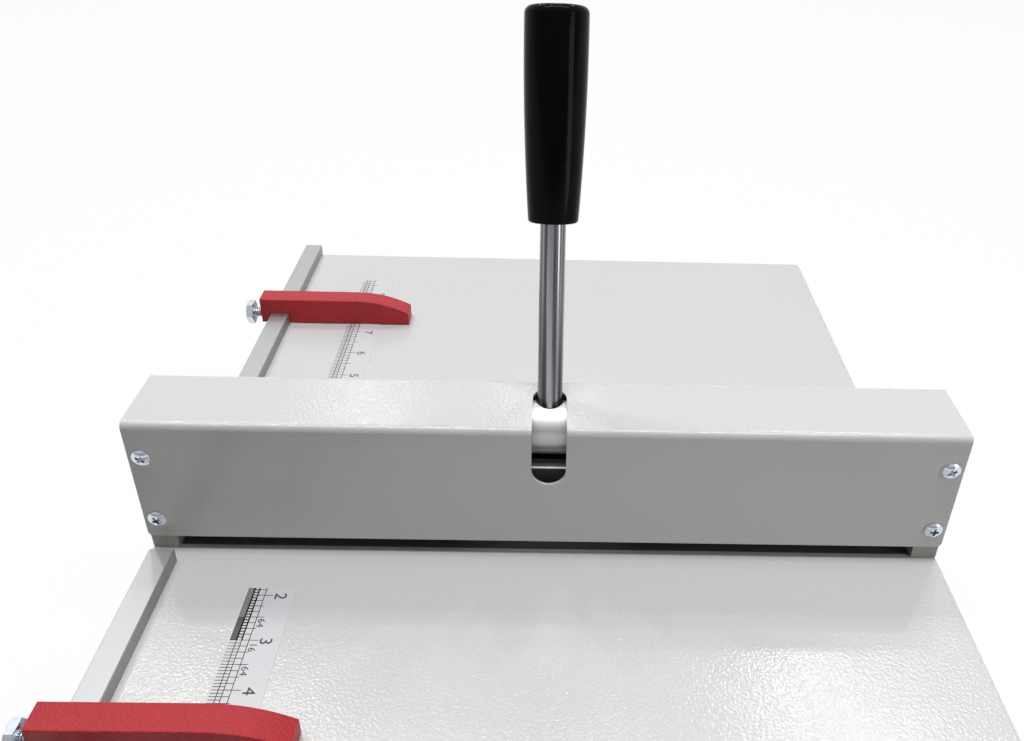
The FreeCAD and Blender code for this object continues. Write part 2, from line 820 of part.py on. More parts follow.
def crease_blade():
    """Thin blade with a rounded lower edge."""
    body = new_body("crease_blade")
    top = shoulder - s.seat_gap
    points = [
        (half_blade, blade_edge + half_blade),
        (half_blade, top),
        (-half_blade, top),
        (-half_blade, blade_edge + half_blade, half_blade * math.sqrt(2)),
        (0, blade_edge, half_blade * math.sqrt(2)),
    ]
    slab(body, "X", -carrier_end, carrier_end, lambda sketch: outline(sketch, points))
    holes = circles(s.clamp_screw_radius + s.screw_fit, clamp_screw_spots())
    slab(body, "Y", -s.overrun, s.overrun, holes, cut=True)
    return body


def blade_clamp_strip():
    body = new_body("blade_clamp_strip")
    top = shoulder - s.seat_gap
    slab(body, "X", -carrier_end, carrier_end, rectangle(strip_front, -half_blade, jaw_bottom, top))
    holes = circles(s.clamp_screw_radius + s.screw_fit, clamp_screw_spots())
    slab(body, "Y", strip_front - s.overrun, s.overrun, holes, cut=True)
    return body


def guide_bar(label, low, high, spots):
    body = new_body(label)
    slab(body, "Y", low, high, rectangle(guide_left, guide_right, 0, s.guide_height))

    def upper(edge):
        return along(edge, ALONG_Y) and near(edge.BoundBox.ZMin, s.guide_height)

    ease(body, "Chamfer", s.guide_edge, upper)
    holes = circles(s.guide_screw_radius + s.screw_fit, spots)
    slab(body, "Z", -s.overrun, s.guide_screw_grip + s.seat_gap * 2, holes, cut=True)
    return body


def sliding_stop(label, middle):
    """A stop that straddles its guide bar and reaches over the table, with a drooping nose."""
    body = new_body(label)
    drop = s.stop_height - s.stop_tip_height
    nose = s.stop_nose_length
    bend = flank_radius(nose, drop)
    roof = s.guide_height + s.stop_fit * 2
    points = [
        (stop_left, s.stop_lift),
        (notch_left, s.stop_lift),
        (notch_left, roof),
        (notch_right, roof),
        (notch_right, s.stop_lift),
        (stop_right, s.stop_lift),
        (stop_right, s.stop_tip_height, bend),
        (stop_right - nose, s.stop_height),
        (stop_left, s.stop_height),
    ]
    low = middle - s.stop_depth / 2
    high = middle + s.stop_depth / 2
    slab(body, "Y", low, high, lambda sketch: outline(sketch, points))

    def rim(edge):
        box = edge.BoundBox
        flat = near(box.YMin, box.YMax)
        return flat and box.ZMin > s.guide_height.value + s.stop_fit.value * 3

    ease(body, "Fillet", s.stop_edge, rim)
    hole = circles(s.thumb_radius + s.screw_fit / 2, [(middle, s.thumb_axis)])
    slab(body, "X", stop_left - s.overrun, notch_left + s.stop_slack, hole, cut=True)
    return body


def clamp_screw(label, middle):
    """Screw with a hexagon head that presses on the guide bar's outer side."""
    body = new_body(label)
    axis_point = (middle, s.thumb_axis)
    slab(body, "X", thumb_head_far, thumb_head_near, hexagon(s.thumb_head_flats, axis_point))
    ease(body, "Chamfer", s.thumb_chamfer, lambda edge: near(edge.BoundBox.XMax, thumb_head_far))
    tip = guide_left - s.thumb_tip_gap
    slab(body, "X", thumb_head_near, tip, circles(s.thumb_radius, [axis_point]))
    return body


def rule_strip(label, low, high):
    body = new_body(label)
    left = s.rule_inset - half_table
    slab(body, "Z", 0, s.rule_thickness, rectangle(left, left + s.rule_width, low, high))
    return body


def screw_master(name, radius, head_radius, head, length, flats=None, socket=None, domed=False):
    """One screw standing on its tip end: shank from z = 0 down, head from z = 0 up."""
    body = doc.addObject("PartDesign::Body", name)
    body.Label = name
    if domed:
        rim = head / 3
        crown = head - rim
        bend = (head_radius * head_radius + crown * crown) / (crown * 2)
        top = [(head_radius, rim, bend), (0, head)]
    else:
        top = [(head_radius, head), (0, head)]
    points = [(0, -length), (radius, -length), (radius, 0), (head_radius, 0)] + top
    turned(body, points)
    if flats is not None:
        slab(body, "Z", head - socket, head + s.overrun, hexagon(flats, (0, 0)), cut=True)
    return body


def nut_master(name):
    body = doc.addObject("PartDesign::Body", name)
    body.Label = name
    slab(body, "Z", 0, s.foot_nut_height, hexagon(s.foot_nut_flats, (0, 0)))
    hole = circles(s.foot_screw_radius + s.screw_fit, [(0, 0)])
    slab(body, "Z", -s.overrun, s.overrun + s.foot_nut_height, hole, cut=True)
    return body


UP = FreeCAD.Rotation()
DOWN = FreeCAD.Rotation(ALONG_X, 180)
TO_FRONT = FreeCAD.Rotation(ALONG_X, 90)
TO_REAR = FreeCAD.Rotation(ALONG_X, -90)


def set_of(label, master, turn, spots):
    """One node that holds like pieces as separate solids, each a linked copy of a master."""
    copies = []
    for x, y, z in spots:
        copy = doc.addObject("App::Link", f"{label}_copy")
        copy.LinkedObject = master
        copy.Placement = FreeCAD.Placement(FreeCAD.Vector(0, 0, 0), turn)
        for letter, size in (("x", x), ("y", y), ("z", z)):
            if isinstance(size, Size):
                copy.setExpression(f"Placement.Base.{letter}", size.text)
        copies.append(copy)
    group = doc.addObject("Part::Compound", label)
    group.Label = label
    group.Links = copies
    place(group)
    return group


def fastener_sets():
    sheet_screw = screw_master("cover_screw_master", s.cover_screw_radius, s.cover_screw_head_radius,
                               s.cover_screw_head, s.cover_screw_grip + s.cover_sheet, domed=True)
    spots = [(side * plate_middle, height) for side in (-1, 1) for height in cover_screw_rows]
    front_spots = [(x, beam_front, z) for x, z in spots]
    rear_spots = [(x, beam_rear, z) for x, z in spots]
    front = set_of("front_cover_screws", sheet_screw, TO_FRONT, front_spots)
    rear = set_of("rear_cover_screws", sheet_screw, TO_REAR, rear_spots)

    head_seat = sheet_under - s.cross_beam_height + s.cap_recess_depth
    cap = (s.cap_screw_radius, s.cap_head_radius, s.cap_head)
    socket = (s.cap_socket_flats, s.cap_socket_depth)
    plate_cap = screw_master("plate_screw_master", *cap, s.plate_screw_grip - head_seat, *socket)
    plate_spots = [(x, y, head_seat) for x, y in plate_screw_spots()]
    plates = set_of("end_plate_screws", plate_cap, DOWN, plate_spots)
    anvil_length = s.anvil_screw_grip - s.anvil_height - head_seat
    anvil_cap = screw_master("anvil_screw_master", *cap, anvil_length, *socket)
    anvil_spots = [(x, y, head_seat) for x, y in anvil_screw_spots()]
    anvil = set_of("anvil_screws", anvil_cap, DOWN, anvil_spots)

    pan = screw_master("guide_screw_master", s.guide_screw_radius, s.guide_screw_head_radius,
                       s.guide_screw_head, s.guide_screw_grip + s.tray_sheet, domed=True)
    guide_spots = [(x, y, sheet_under) for x, y in guide_screw_spots()]
    guides = set_of("guide_bar_screws", pan, DOWN, guide_spots)

    nut_top = tray_bottom + s.tray_sheet + s.foot_nut_height
    seat = foot_bottom + s.foot_recess_depth
    foot_length = nut_top + s.foot_screw_stub - seat
    foot_pan = screw_master("foot_screw_master", s.foot_screw_radius, s.foot_screw_head_radius,
                            s.foot_screw_head, foot_length, domed=True)
    feet = set_of("foot_screws", foot_pan, DOWN, [(x, y, seat) for x, y in foot_spots()])
    nut = nut_master("foot_nut_master")
    nut_spots = [(x, y, tray_bottom + s.tray_sheet) for x, y in foot_spots()]
    nuts = set_of("foot_nuts", nut, UP, nut_spots)

    clamp_length = s.clamp_screw_grip + s.strip_thickness + s.blade_thickness
    clamp = screw_master("clamp_screw_master", s.clamp_screw_radius, s.clamp_screw_head_radius,
                         s.clamp_screw_head, clamp_length, domed=True)
    clamp_spots = [(x, strip_front, z) for x, z in clamp_screw_spots()]
    clamps = set_of("blade_clamp_screws", clamp, TO_FRONT, clamp_spots)
    return [front, rear, plates, anvil, guides, feet, nuts, clamps]


def arc_between(start, start_way, finish, finish_way):
    """Two arcs that leave start along one direction, meet smoothly and reach finish along another."""
    chord = finish - start
    ways = start_way + finish_way
    lead = chord.dot(ways)
    spread = 2 * (1 - start_way.dot(finish_way))
    reach = (math.sqrt(lead**2 + spread * chord.dot(chord)) - lead) / spread
    knee_one = start + start_way * reach
    knee_two = finish - finish_way * reach
    joint = (knee_one + knee_two) / 2
    arcs = []
    for first, knee, last in ((start, knee_one, joint), (joint, knee_two, finish)):
        middle = (first + last) / 2
        half = (last - first).Length / 2
        rise = knee - middle
        lean = math.acos(min(1.0, half / reach))
        crown = middle + rise / rise.Length * half * math.tan(lean / 2)
        arcs.append(Part.Arc(first, crown, last).toShape())
    return arcs


def return_spring(label, side):
    """A compression spring of round wire, with its ends a wire's width clear of both seats."""
    radius = s.spring_coil_radius.value
    wire = s.spring_wire_radius.value
    low = s.spring_floor.value + wire + s.seat_gap.value
    high = shoulder.value - wire - s.seat_gap.value
    steps = SPRING_TURNS * 2
    spots = []
    for step in range(steps + 1):
        angle = math.pi * step
        height = low + (high - low) * step / steps
        spot = FreeCAD.Vector(radius * math.cos(angle), radius * math.sin(angle), height)
        climb = (high - low) / steps / math.pi
        way = FreeCAD.Vector(-radius * math.sin(angle), radius * math.cos(angle), climb)
        spots.append((spot, way / way.Length))
    edges = []
    for (first, first_way), (last, last_way) in zip(spots, spots[1:]):
        edges += arc_between(first, first_way, last, last_way)
    path = Part.Wire(edges)
    section = Part.Wire([Part.makeCircle(wire, spots[0][0], spots[0][1])])
    solid = path.makePipeShell([section], True, False)
    print(f"{label}: least gap between turns {(high - low) / SPRING_TURNS - 2 * wire:.2f} mm")
    spring = doc.addObject("Part::Feature", label)
    spring.Label = label
    spring.Shape = solid
    place(spring, x=side * (plate_inner + slide_depth / 2))
    return spring


def check(nodes):
    """Stops where an object failed, a cut removed nothing or a piece is not sound."""
    for item in doc.Objects:
        if "Invalid" in item.State or "Error" in item.State:
            raise RuntimeError(f"{item.Label}: {item.State}")
        if item.TypeId == "PartDesign::Pocket":
            before = item.BaseFeature.Shape.Volume
            if before - item.Shape.Volume < TINY:
                raise RuntimeError(f"{item.Label} cuts nothing")
    for node in nodes:
        if node.Shape.isNull() or not node.Shape.isValid() or not node.Shape.Solids:
            raise RuntimeError(f"{node.Label} is not a sound solid")


def main():
    across = half_table - s.foot_inset
    along_y = half_depth - s.foot_inset
    front_middle = -s.front_stop_place
    rear_middle = s.rear_stop_place
    guide_spots = guide_screw_spots()
    count = len(GUIDE_SCREW_SHARES)
    nodes = [
        table_tray(),
        foot("foot_front_left", -across, -along_y),
        foot("foot_front_right", across, -along_y),
        foot("foot_rear_left", -across, along_y),
        foot("foot_rear_right", across, along_y),
        cross_beam(),
        anvil_bar(),
        end_plate("left_end_plate", -1),
        end_plate("right_end_plate", 1),
        beam_cover(),
        bush("left_bush", -1),
        bush("right_bush", 1),
        return_spring("left_return_spring", -1),
        return_spring("right_return_spring", 1),
        guide_bar("front_guide_bar", -half_depth, guide_near_front, guide_spots[:count]),
        guide_bar("rear_guide_bar", guide_near_rear, half_depth, guide_spots[count:]),
        rule_strip("front_rule_strip", -s.rule_end, -s.rule_start),
        rule_strip("rear_rule_strip", s.rule_start, s.rule_end),
        press_shaft(),
        lever_rod(),
        lever_grip(),
        rod_grub_screw(),
        blade_carrier(),
        wear_strip(),
        crease_blade(),
        blade_clamp_strip(),
        sliding_stop("front_stop", front_middle),
        sliding_stop("rear_stop", rear_middle),
        clamp_screw("front_stop_screw", front_middle),
        clamp_screw("rear_stop_screw", rear_middle),
    ]
    nodes += fastener_sets()
    doc.recompute()
    check(nodes)
    os.makedirs("parts", exist_ok=True)
    for node in nodes:
        node.Shape.exportStep(f"parts/{node.Label}.step")
    print(len(nodes), "nodes written")


main()
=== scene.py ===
import math

import bmesh
import bpy
from mathutils import Euler, Matrix, Vector


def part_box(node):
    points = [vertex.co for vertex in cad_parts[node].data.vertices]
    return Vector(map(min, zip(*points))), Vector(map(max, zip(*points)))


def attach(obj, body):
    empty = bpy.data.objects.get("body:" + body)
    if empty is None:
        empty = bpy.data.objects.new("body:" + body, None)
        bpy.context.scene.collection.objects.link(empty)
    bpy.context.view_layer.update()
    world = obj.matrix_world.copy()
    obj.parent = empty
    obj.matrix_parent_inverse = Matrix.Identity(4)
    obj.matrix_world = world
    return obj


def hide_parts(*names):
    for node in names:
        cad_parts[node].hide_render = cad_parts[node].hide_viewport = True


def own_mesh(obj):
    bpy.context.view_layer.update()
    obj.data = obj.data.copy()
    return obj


# Looks of a desktop paper creasing machine: a painted folded-steel table and beam cover, a polished
# pressing bar with its lever, red sliding stops on aluminium bars, and printed rule strips.

bl_info = {
    "name": "Desktop Paper Creasing Machine",
    "version": (1, 0, 0),
    "blender": (4, 5, 0),
    "location": "3D View > Sidebar > Creaser",
    "description": "Finishes, fasteners, rule print and studio of a desktop paper creasing machine",
    "category": "Object",
}

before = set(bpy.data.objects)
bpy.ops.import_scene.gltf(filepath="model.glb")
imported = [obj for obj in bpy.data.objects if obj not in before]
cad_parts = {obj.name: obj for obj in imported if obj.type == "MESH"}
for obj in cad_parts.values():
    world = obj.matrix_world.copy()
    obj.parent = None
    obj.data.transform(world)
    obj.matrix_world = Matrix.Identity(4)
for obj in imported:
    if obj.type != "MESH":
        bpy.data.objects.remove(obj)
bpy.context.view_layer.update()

MM = 0.001
INCH = 25.4 * MM
FINE_INCHES = 3  # the rule's fine divisions end here
TURN = 2 * math.pi
MERGE = 1e-7  # vertices of a new shape nearer than this are one
SOLID_MERGE = 1e-6  # the same for the loose triangles of a carried-over solid
PAN_HEAD_SHARE = 0.62  # height of a pan head over its radius
PAN_HEAD_STEPS = 8  # steps of a pan head's dome, from rim to middle
THREAD_STEPS = 24  # steps of one turn of a thread
DIGIT_SHARE = 0.729  # height of a digit over its text size
SIXTEENTHS = 16  # divisions of an inch on the rule
SMALL_NUMBERS = (("64", 2.63), ("16", 3.15), ("64", 3.63))  # on the rule, with their places in inches
BODY = "machine_frame"


# Settings that a user would change


def length(name, description, default):
    return bpy.props.FloatProperty(
        name=name, description=description, default=default, unit="LENGTH", precision=5
    )


def colour(name, description, default):
    return bpy.props.FloatVectorProperty(
        name=name, description=description, default=default, size=3, min=0, max=1, subtype="COLOR"
    )


class FinishSettings(bpy.types.PropertyGroup):
    """Colours of the machine's finishes."""

    paint: colour("Paint", "Powder coat of the table and the cover", (0.672, 0.675, 0.663))
    # the end plates' coat is darker than the cover's: painted shade for the plates below the cover's edge
    end_paint: colour("End paint", "Darker coat of the end plates", (0.40, 0.397, 0.355))
    # black of the strips that make the gap under the cover look black
    gliding_black: colour("Gliding black", "Black strips beside the anvil", (0.085, 0.085, 0.095))
    stop_red: colour("Stop red", "Satin paint of the two stops", (0.50, 0.024, 0.034))
    grip_black: colour("Grip black", "Polished moulding of the lever's grip", (0.002, 0.002, 0.0023))
    aluminium: colour("Aluminium", "Extruded guide bars", (0.465, 0.472, 0.48))
    # darker colour of the guide bars' upright sides: painted shade
    aluminium_side: colour("Aluminium side", "Duller sides of the guide bars", (0.34, 0.34, 0.35))
    bar_steel: colour("Bar steel", "Polished pressing bar", (0.60, 0.60, 0.61))
    rod_steel: colour("Rod steel", "Ground lever rod", (0.21, 0.215, 0.225))
    zinc: colour("Zinc", "Bluish zinc plating of the screws", (0.70, 0.75, 0.82))
    black_oxide: colour("Black oxide", "Blackened steel under the table", (0.035, 0.037, 0.041))
    carrier_grey: colour("Carrier grey", "Dark satin steel of the blade carrier", (0.28, 0.292, 0.305))
    # bright steel of the carrier's edges: bare metal, and painted highlights of them
    worn_steel: colour("Worn steel", "Bare edges of the blade carrier", (0.72, 0.73, 0.75))
    film: colour("Rule film", "White film of the rule strips", (0.665, 0.672, 0.685))
    ink: colour("Ink", "Black print of the rule strips", (0.018, 0.018, 0.02))
    rubber: colour("Rubber", "Feet", (0.02, 0.02, 0.021))


class RuleSettings(bpy.types.PropertyGroup):
    """Sizes of the print on the rule strips."""

    left_line: length("Left line", "Left long line, from the strip's left edge", 0.0037)
    middle_line: length("Middle line", "Middle long line, from the strip's left edge", 0.0058)
    right_line: length("Right line", "Right long line, from the strip's left edge", 0.0088)
    inch_tick: length("Inch tick", "Right end of an inch tick, from the strip's left edge", 0.0124)
    numbers: length("Numbers", "Lower end of the numbers, from the strip's left edge", 0.0133)
    band_left: length("Band left", "Left edge of the grey band, from the strip's left edge", 0.0009)
    stroke: length("Stroke", "Width of a tick", 0.00033)
    bold_stroke: length("Bold stroke", "Width of a tick and a line beside the grey bands", 0.00062)
    line_stroke: length("Line stroke", "Width of a long line", 0.00034)
    ink_height: length("Ink height", "Thickness of the print", 0.00003)
    number_height: length("Number height", "Height of an inch number", 0.0053)
    number_shift: length("Number shift", "Middle of an inch number in front of its tick", 0.0005)
    small_height: length("Small height", "Height of a small number", 0.0031)
    half_inch: length("Half inch", "Half-inch tick past the right long line", 0.0029)
    quarter_inch: length("Quarter inch", "Quarter-inch tick past the right long line", 0.0012)
    small_gap: length("Small gap", "Small numbers past the right long line", 0.0009)
    wide: bpy.props.FloatProperty(
        name="Wide", description="Widening of the numbers", default=1.15, min=0.5, max=2
    )


class ScrewSettings(bpy.types.PropertyGroup):
    """Sizes of the screws that are seen."""

    head_dome: length("Dome", "Height of a pan head above its rim", 0.0015)
    recess_width: length("Recess width", "Width of a wing of the cross recess", 0.0016)
    recess_depth: length("Recess depth", "Depth of the cross recess", 0.0023)
    recess_span: bpy.props.FloatProperty(
        name="Recess span",
        description="Cross recess over the head, as a share",
        default=0.68,
        min=0.2,
        max=0.9,
    )
    thread_pitch: length("Pitch", "Pitch of the clamp screws' thread", 0.0010)
    thread_depth: length("Thread depth", "Depth of the clamp screws' thread", 0.0005)
    clamp_head: length("Clamp head", "Height of a clamp screw's hexagonal head", 0.0044)
    clamp_shank: length("Clamp shank", "Radius of a clamp screw's thread", 0.0030)


class LeverSettings(bpy.types.PropertyGroup):
    """Direction of the lever's grain."""

    lean: bpy.props.FloatProperty(
        name="Lean", description="How far the lever leans back", default=math.radians(17), subtype="ANGLE"
    )


class StageSettings(bpy.types.PropertyGroup):
    """Camera, light and floor."""

    camera_place: bpy.props.FloatVectorProperty(
        name="Camera place",
        description="Where the photograph was taken from",
        default=(0.005134, -0.353332, 0.354203),
        size=3,
        subtype="TRANSLATION",
        unit="LENGTH",
        precision=6,
    )
    yaw: bpy.props.FloatProperty(
        name="Yaw", description="Turn to the right", default=math.radians(1.476), subtype="ANGLE"
    )
    pitch: bpy.props.FloatProperty(
        name="Pitch", description="Tilt below the horizon", default=math.radians(33.037), subtype="ANGLE"
    )
    roll: bpy.props.FloatProperty(
        name="Roll", description="Roll about the line of sight", default=math.radians(1.843), subtype="ANGLE"
    )
    focal_pixels: bpy.props.FloatProperty(
        name="Focal length", description="Focal length in pixels of the picture", default=967.504
    )
    principal: bpy.props.FloatVectorProperty(
        name="Principal point", description="Principal point in pixels", default=(568.978, 385.445), size=2
    )
    floor_colour: colour("Floor", "Pale floor", (0.96, 0.96, 0.96))
    floor_bounce: colour("Floor bounce", "Floor as it lights the machine", (0.26, 0.26, 0.26))
    floor_glow: bpy.props.FloatProperty(
        name="Floor glow", description="Share of plain white in the floor", default=0.95, min=0, max=1
    )
    overhead_power: bpy.props.FloatProperty(
        name="Overhead", description="Power of the large lamp above", default=14.3, unit="POWER"
    )
    back_power: bpy.props.FloatProperty(
        name="Back", description="Power of the lamps behind", default=8.0, unit="POWER"
    )
    side_power: bpy.props.FloatProperty(
        name="Side", description="Power of the lamp on the right", default=0.55, unit="POWER"
    )
    fill: bpy.props.FloatProperty(name="Fill", description="Strength of the room's soft light", default=0.34)


# Node trees


class Value:
    """A socket that carries a number, whose arithmetic adds Math nodes."""

    def __init__(self, finish, socket):
        self.finish = finish
        self.socket = socket

    def _maths(self, operation, *operands):
        return self.finish.maths(operation, *operands)

    def __add__(self, other):
        return self._maths("ADD", self, other)

    def __sub__(self, other):
        return self._maths("SUBTRACT", self, other)

    def __mul__(self, other):
        return self._maths("MULTIPLY", self, other)

    def __rsub__(self, other):
        return self._maths("SUBTRACT", other, self)

    __radd__ = __add__
    __rmul__ = __mul__


class Finish:
    """A node tree under construction, of a material or the world."""

    def __init__(self, owner):
        owner.use_nodes = True
        self.owner = owner
        self.tree = owner.node_tree
        self.tree.nodes.clear()

    def node(self, kind, settings=None, inputs=None):
        """Adds a node: settings are set first, then the values or links of its sockets."""
        node = self.tree.nodes.new(kind)
        for key, value in (settings or {}).items():
            if key == "stops":
                self._set_stops(node.color_ramp, value)
            else:
                setattr(node, key, value)
        for key, value in (inputs or {}).items():
            self.feed(node.inputs[key], value)
        return node

    def feed(self, socket, value):
        source = value.socket if isinstance(value, Value) else value
        if isinstance(source, bpy.types.NodeSocket):
            self.tree.links.new(source, socket)
        elif hasattr(source, "__len__") and len(source) == 3 and len(socket.default_value) == 4:
            socket.default_value = (*source, 1)
        else:
            socket.default_value = source

    def _set_stops(self, ramp, stops):
        while len(ramp.elements) < len(stops):
            ramp.elements.new(1)
        for element, (place, shade) in zip(ramp.elements, stops):
            element.position = place
            element.color = (*shade, 1) if hasattr(shade, "__len__") else (shade, shade, shade, 1)

    def maths(self, operation, *operands, clamp=False):
        settings = {"operation": operation, "use_clamp": clamp}
        return Value(self, self.node("ShaderNodeMath", settings, dict(enumerate(operands))).outputs[0])

    def place(self, stretch=(1, 1, 1), lean=0):
        """Object coordinates, turned upright from a lean and stretched along the axes."""
        spot = self.node("ShaderNodeTexCoord").outputs["Object"]
        if lean:
            inputs = {"Vector": spot, "Rotation": (lean, 0, 0)}
            spot = self.node("ShaderNodeMapping", inputs=inputs).outputs[0]
        if stretch == (1, 1, 1):
            return spot
        return self.node("ShaderNodeMapping", inputs={"Vector": spot, "Scale": stretch}).outputs[0]

    def noise(self, scale, detail=2, rough=0.5, stretch=(1, 1, 1), lean=0):
        inputs = {"Vector": self.place(stretch, lean), "Scale": scale, "Detail": detail, "Roughness": rough}
        return Value(self, self.node("ShaderNodeTexNoise", inputs=inputs).outputs["Fac"])

    def cells(self, scale, smoothness=0.6):
        settings = {"feature": "SMOOTH_F1"}
        inputs = {"Vector": self.place(), "Scale": scale, "Smoothness": smoothness}
        return Value(self, self.node("ShaderNodeTexVoronoi", settings, inputs).outputs["Distance"])

    def ramp(self, value, stops):
        return self.node("ShaderNodeValToRGB", {"stops": stops}, {"Fac": value}).outputs["Color"]

    def mix(self, share, first, second):
        inputs = {0: share, 6: first, 7: second}
        return self.node("ShaderNodeMix", {"data_type": "RGBA"}, inputs).outputs[2]

    def tint(self, first, second):
        """Product of two colours."""
        settings = {"data_type": "RGBA", "blend_type": "MULTIPLY"}
        return self.node("ShaderNodeMix", settings, {0: 1.0, 6: first, 7: second}).outputs[2]

    def bump(self, height, distance, strength=1.0):
        inputs = {"Height": height, "Distance": distance, "Strength": strength}
        return self.node("ShaderNodeBump", inputs=inputs).outputs["Normal"]

    def surface(self, **inputs):
        """Ends the tree in a Principled shader with these sockets."""
        named = {key.replace("_", " "): value for key, value in inputs.items()}
        shader = self.node("ShaderNodeBsdfPrincipled", inputs=named)
        self.node("ShaderNodeOutputMaterial", inputs={"Surface": shader.outputs[0]})
        return self.owner


def new_finish(name):
    return Finish(bpy.data.materials.new(name))


def shade_of(base, factor):
    return tuple(min(1.0, part * factor) for part in base)


# Finishes


def powder_coat(name, paint):
    """Semi-gloss powder coat with a fine leathery texture and faint clouding."""
    finish = new_finish(name)
    cloud = finish.noise(9, detail=3)
    speck = finish.noise(420, detail=2)
    tint = finish.mix(cloud, shade_of(paint, 0.975), shade_of(paint, 1.02))
    tone = finish.mix(speck * 0.2, tint, shade_of(paint, 0.95))
    grain = finish.noise(820, detail=2, rough=0.5) + finish.cells(660) * 0.45
    return finish.surface(
        Base_Color=tone,
        Roughness=finish.noise(260) * 0.06 + 0.13,
        Specular_IOR_Level=0.5,
        Normal=finish.bump(grain, 0.00011, 1.0),
    )


def satin_red(colours):
    """Satin red paint with a leathery grain whose grooves are darkened in its colour as painted shade."""
    finish = new_finish("satin_red")
    red = tuple(colours.stop_red)
    cloud = finish.noise(45, detail=4, rough=0.6)
    cells = finish.cells(1250, smoothness=0.4)
    # the colour is darkened in the grain's grooves: painted shade
    painted_groove_shade = finish.ramp(cells, [(0.35, (1, 1, 1)), (0.80, (0.78, 0.78, 0.78))])
    tone = finish.mix(cloud, shade_of(red, 0.85), shade_of(red, 1.15))
    grain = finish.noise(1100, detail=3, rough=0.6) - cells * 0.7
    return finish.surface(
        Base_Color=finish.tint(tone, painted_groove_shade),
        Roughness=finish.noise(500) * 0.14 + 0.38,
        Specular_IOR_Level=0.32,
        Normal=finish.bump(grain, 0.00020, 1.0),
    )


def polished_black(colours, lean):
    """Polished black moulding with faint haze drawn out along the lever."""
    finish = new_finish("polished_black")
    black = tuple(colours.grip_black)
    haze = finish.noise(160, detail=3, stretch=(1, 1, 0.05), lean=lean)
    return finish.surface(
        Base_Color=finish.mix(haze, shade_of(black, 0.6), shade_of(black, 2.2)),
        Roughness=haze * 0.10 + 0.05,
        Specular_IOR_Level=0.055,
        Normal=finish.bump(finish.noise(260, detail=2, stretch=(1, 1, 0.1), lean=lean), 0.00002, 0.4),
    )


def drawn_aluminium(colours):
    """Extruded bar with fine lines along its length; its upright sides are rougher, and darker in colour as
    painted shade.
    """
    finish = new_finish("drawn_aluminium")
    metal = tuple(colours.aluminium)
    lines = finish.noise(2600, detail=3, rough=0.65, stretch=(1, 0.012, 1))
    cloud = finish.noise(26, detail=3, stretch=(1, 0.3, 1))
    facing = finish.node("ShaderNodeTexCoord").outputs["Normal"]
    across = Value(finish, finish.node("ShaderNodeSeparateXYZ", inputs={0: facing}).outputs["X"])
    side = finish.maths("ABSOLUTE", across)
    tone = finish.mix(lines, shade_of(metal, 0.86), shade_of(metal, 1.06))
    worn = finish.mix(cloud * 0.5, tone, shade_of(metal, 0.90))
    return finish.surface(
        # the upright sides get a darker colour as painted shade; their extra roughness is real
        Base_Color=finish.mix(side * 0.9, worn, tuple(colours.aluminium_side)),
        Metallic=0.9,
        Roughness=lines * 0.12 + side * 0.08 + 0.38,
        Normal=finish.bump(lines, 0.00003, 0.4),
    )


def polished_bar(colours):
    """Polished round bar with fine scratches along it."""
    finish = new_finish("polished_bar")
    metal = tuple(colours.bar_steel)
    lines = finish.noise(2400, detail=3, rough=0.6, stretch=(0.02, 1, 1))
    return finish.surface(
        Base_Color=finish.mix(lines, shade_of(metal, 0.92), shade_of(metal, 1.05)),
        Metallic=1.0,
        Roughness=lines * 0.08 + 0.40,
        Normal=finish.bump(lines, 0.00001, 0.35),
    )


def ground_rod(colours, lean):
    """Ground rod with faint rings round it, and light and dark streaks along it painted into its colour as
    painted reflections.
    """
    finish = new_finish("ground_rod")
    metal = tuple(colours.rod_steel)
    rings = finish.noise(2600, detail=3, rough=0.6, stretch=(0.02, 0.02, 1), lean=lean)
    # light and dark streaks along the rod in its base colour: painted reflections
    painted_reflection_streaks = finish.noise(520, detail=3, stretch=(1, 1, 0.01), lean=lean)
    tone = finish.ramp(painted_reflection_streaks, [(0.40, shade_of(metal, 0.2)), (0.50, metal), (0.60, shade_of(metal, 2.2))])
    return finish.surface(
        Base_Color=finish.mix(rings * 0.4, tone, shade_of(metal, 0.85)),
        Metallic=1.0,
        Roughness=rings * 0.08 + 0.20,
        Normal=finish.bump(rings, 0.00001, 0.4),
    )


def zinc_plate(colours):
    """Bright bluish zinc with faint clouding."""
    finish = new_finish("zinc_plate")
    metal = tuple(colours.zinc)
    cloud = finish.noise(700, detail=3, rough=0.6)
    return finish.surface(
        Base_Color=finish.mix(cloud, shade_of(metal, 0.82), shade_of(metal, 1.12)),
        Metallic=0.95,
        Roughness=cloud * 0.12 + 0.13,
        Normal=finish.bump(finish.noise(1800, detail=2), 0.00002, 0.4),
    )


def plain_metal(name, metal, rough, grain_scale, stretch=(1, 1, 1)):
    """A machined or blackened steel or bronze with its own grain."""
    finish = new_finish(name)
    grain = finish.noise(grain_scale, detail=3, rough=0.6, stretch=stretch)
    return finish.surface(
        Base_Color=finish.mix(grain, shade_of(metal, 0.8), shade_of(metal, 1.2)),
        Metallic=0.85,
        Roughness=grain * 0.15 + rough,
        Normal=finish.bump(grain, 0.00002, 0.35),
    )


def printed_film(colours):
    """White film with a faint gloss and a little unevenness where it is stuck down."""
    finish = new_finish("rule_film")
    film = tuple(colours.film)
    cloud = finish.noise(120, detail=3)
    return finish.surface(
        Base_Color=finish.mix(cloud, shade_of(film, 0.96), shade_of(film, 1.03)),
        Roughness=cloud * 0.10 + 0.30,
        Normal=finish.bump(finish.noise(160, detail=2), 0.00004, 0.3),
    )


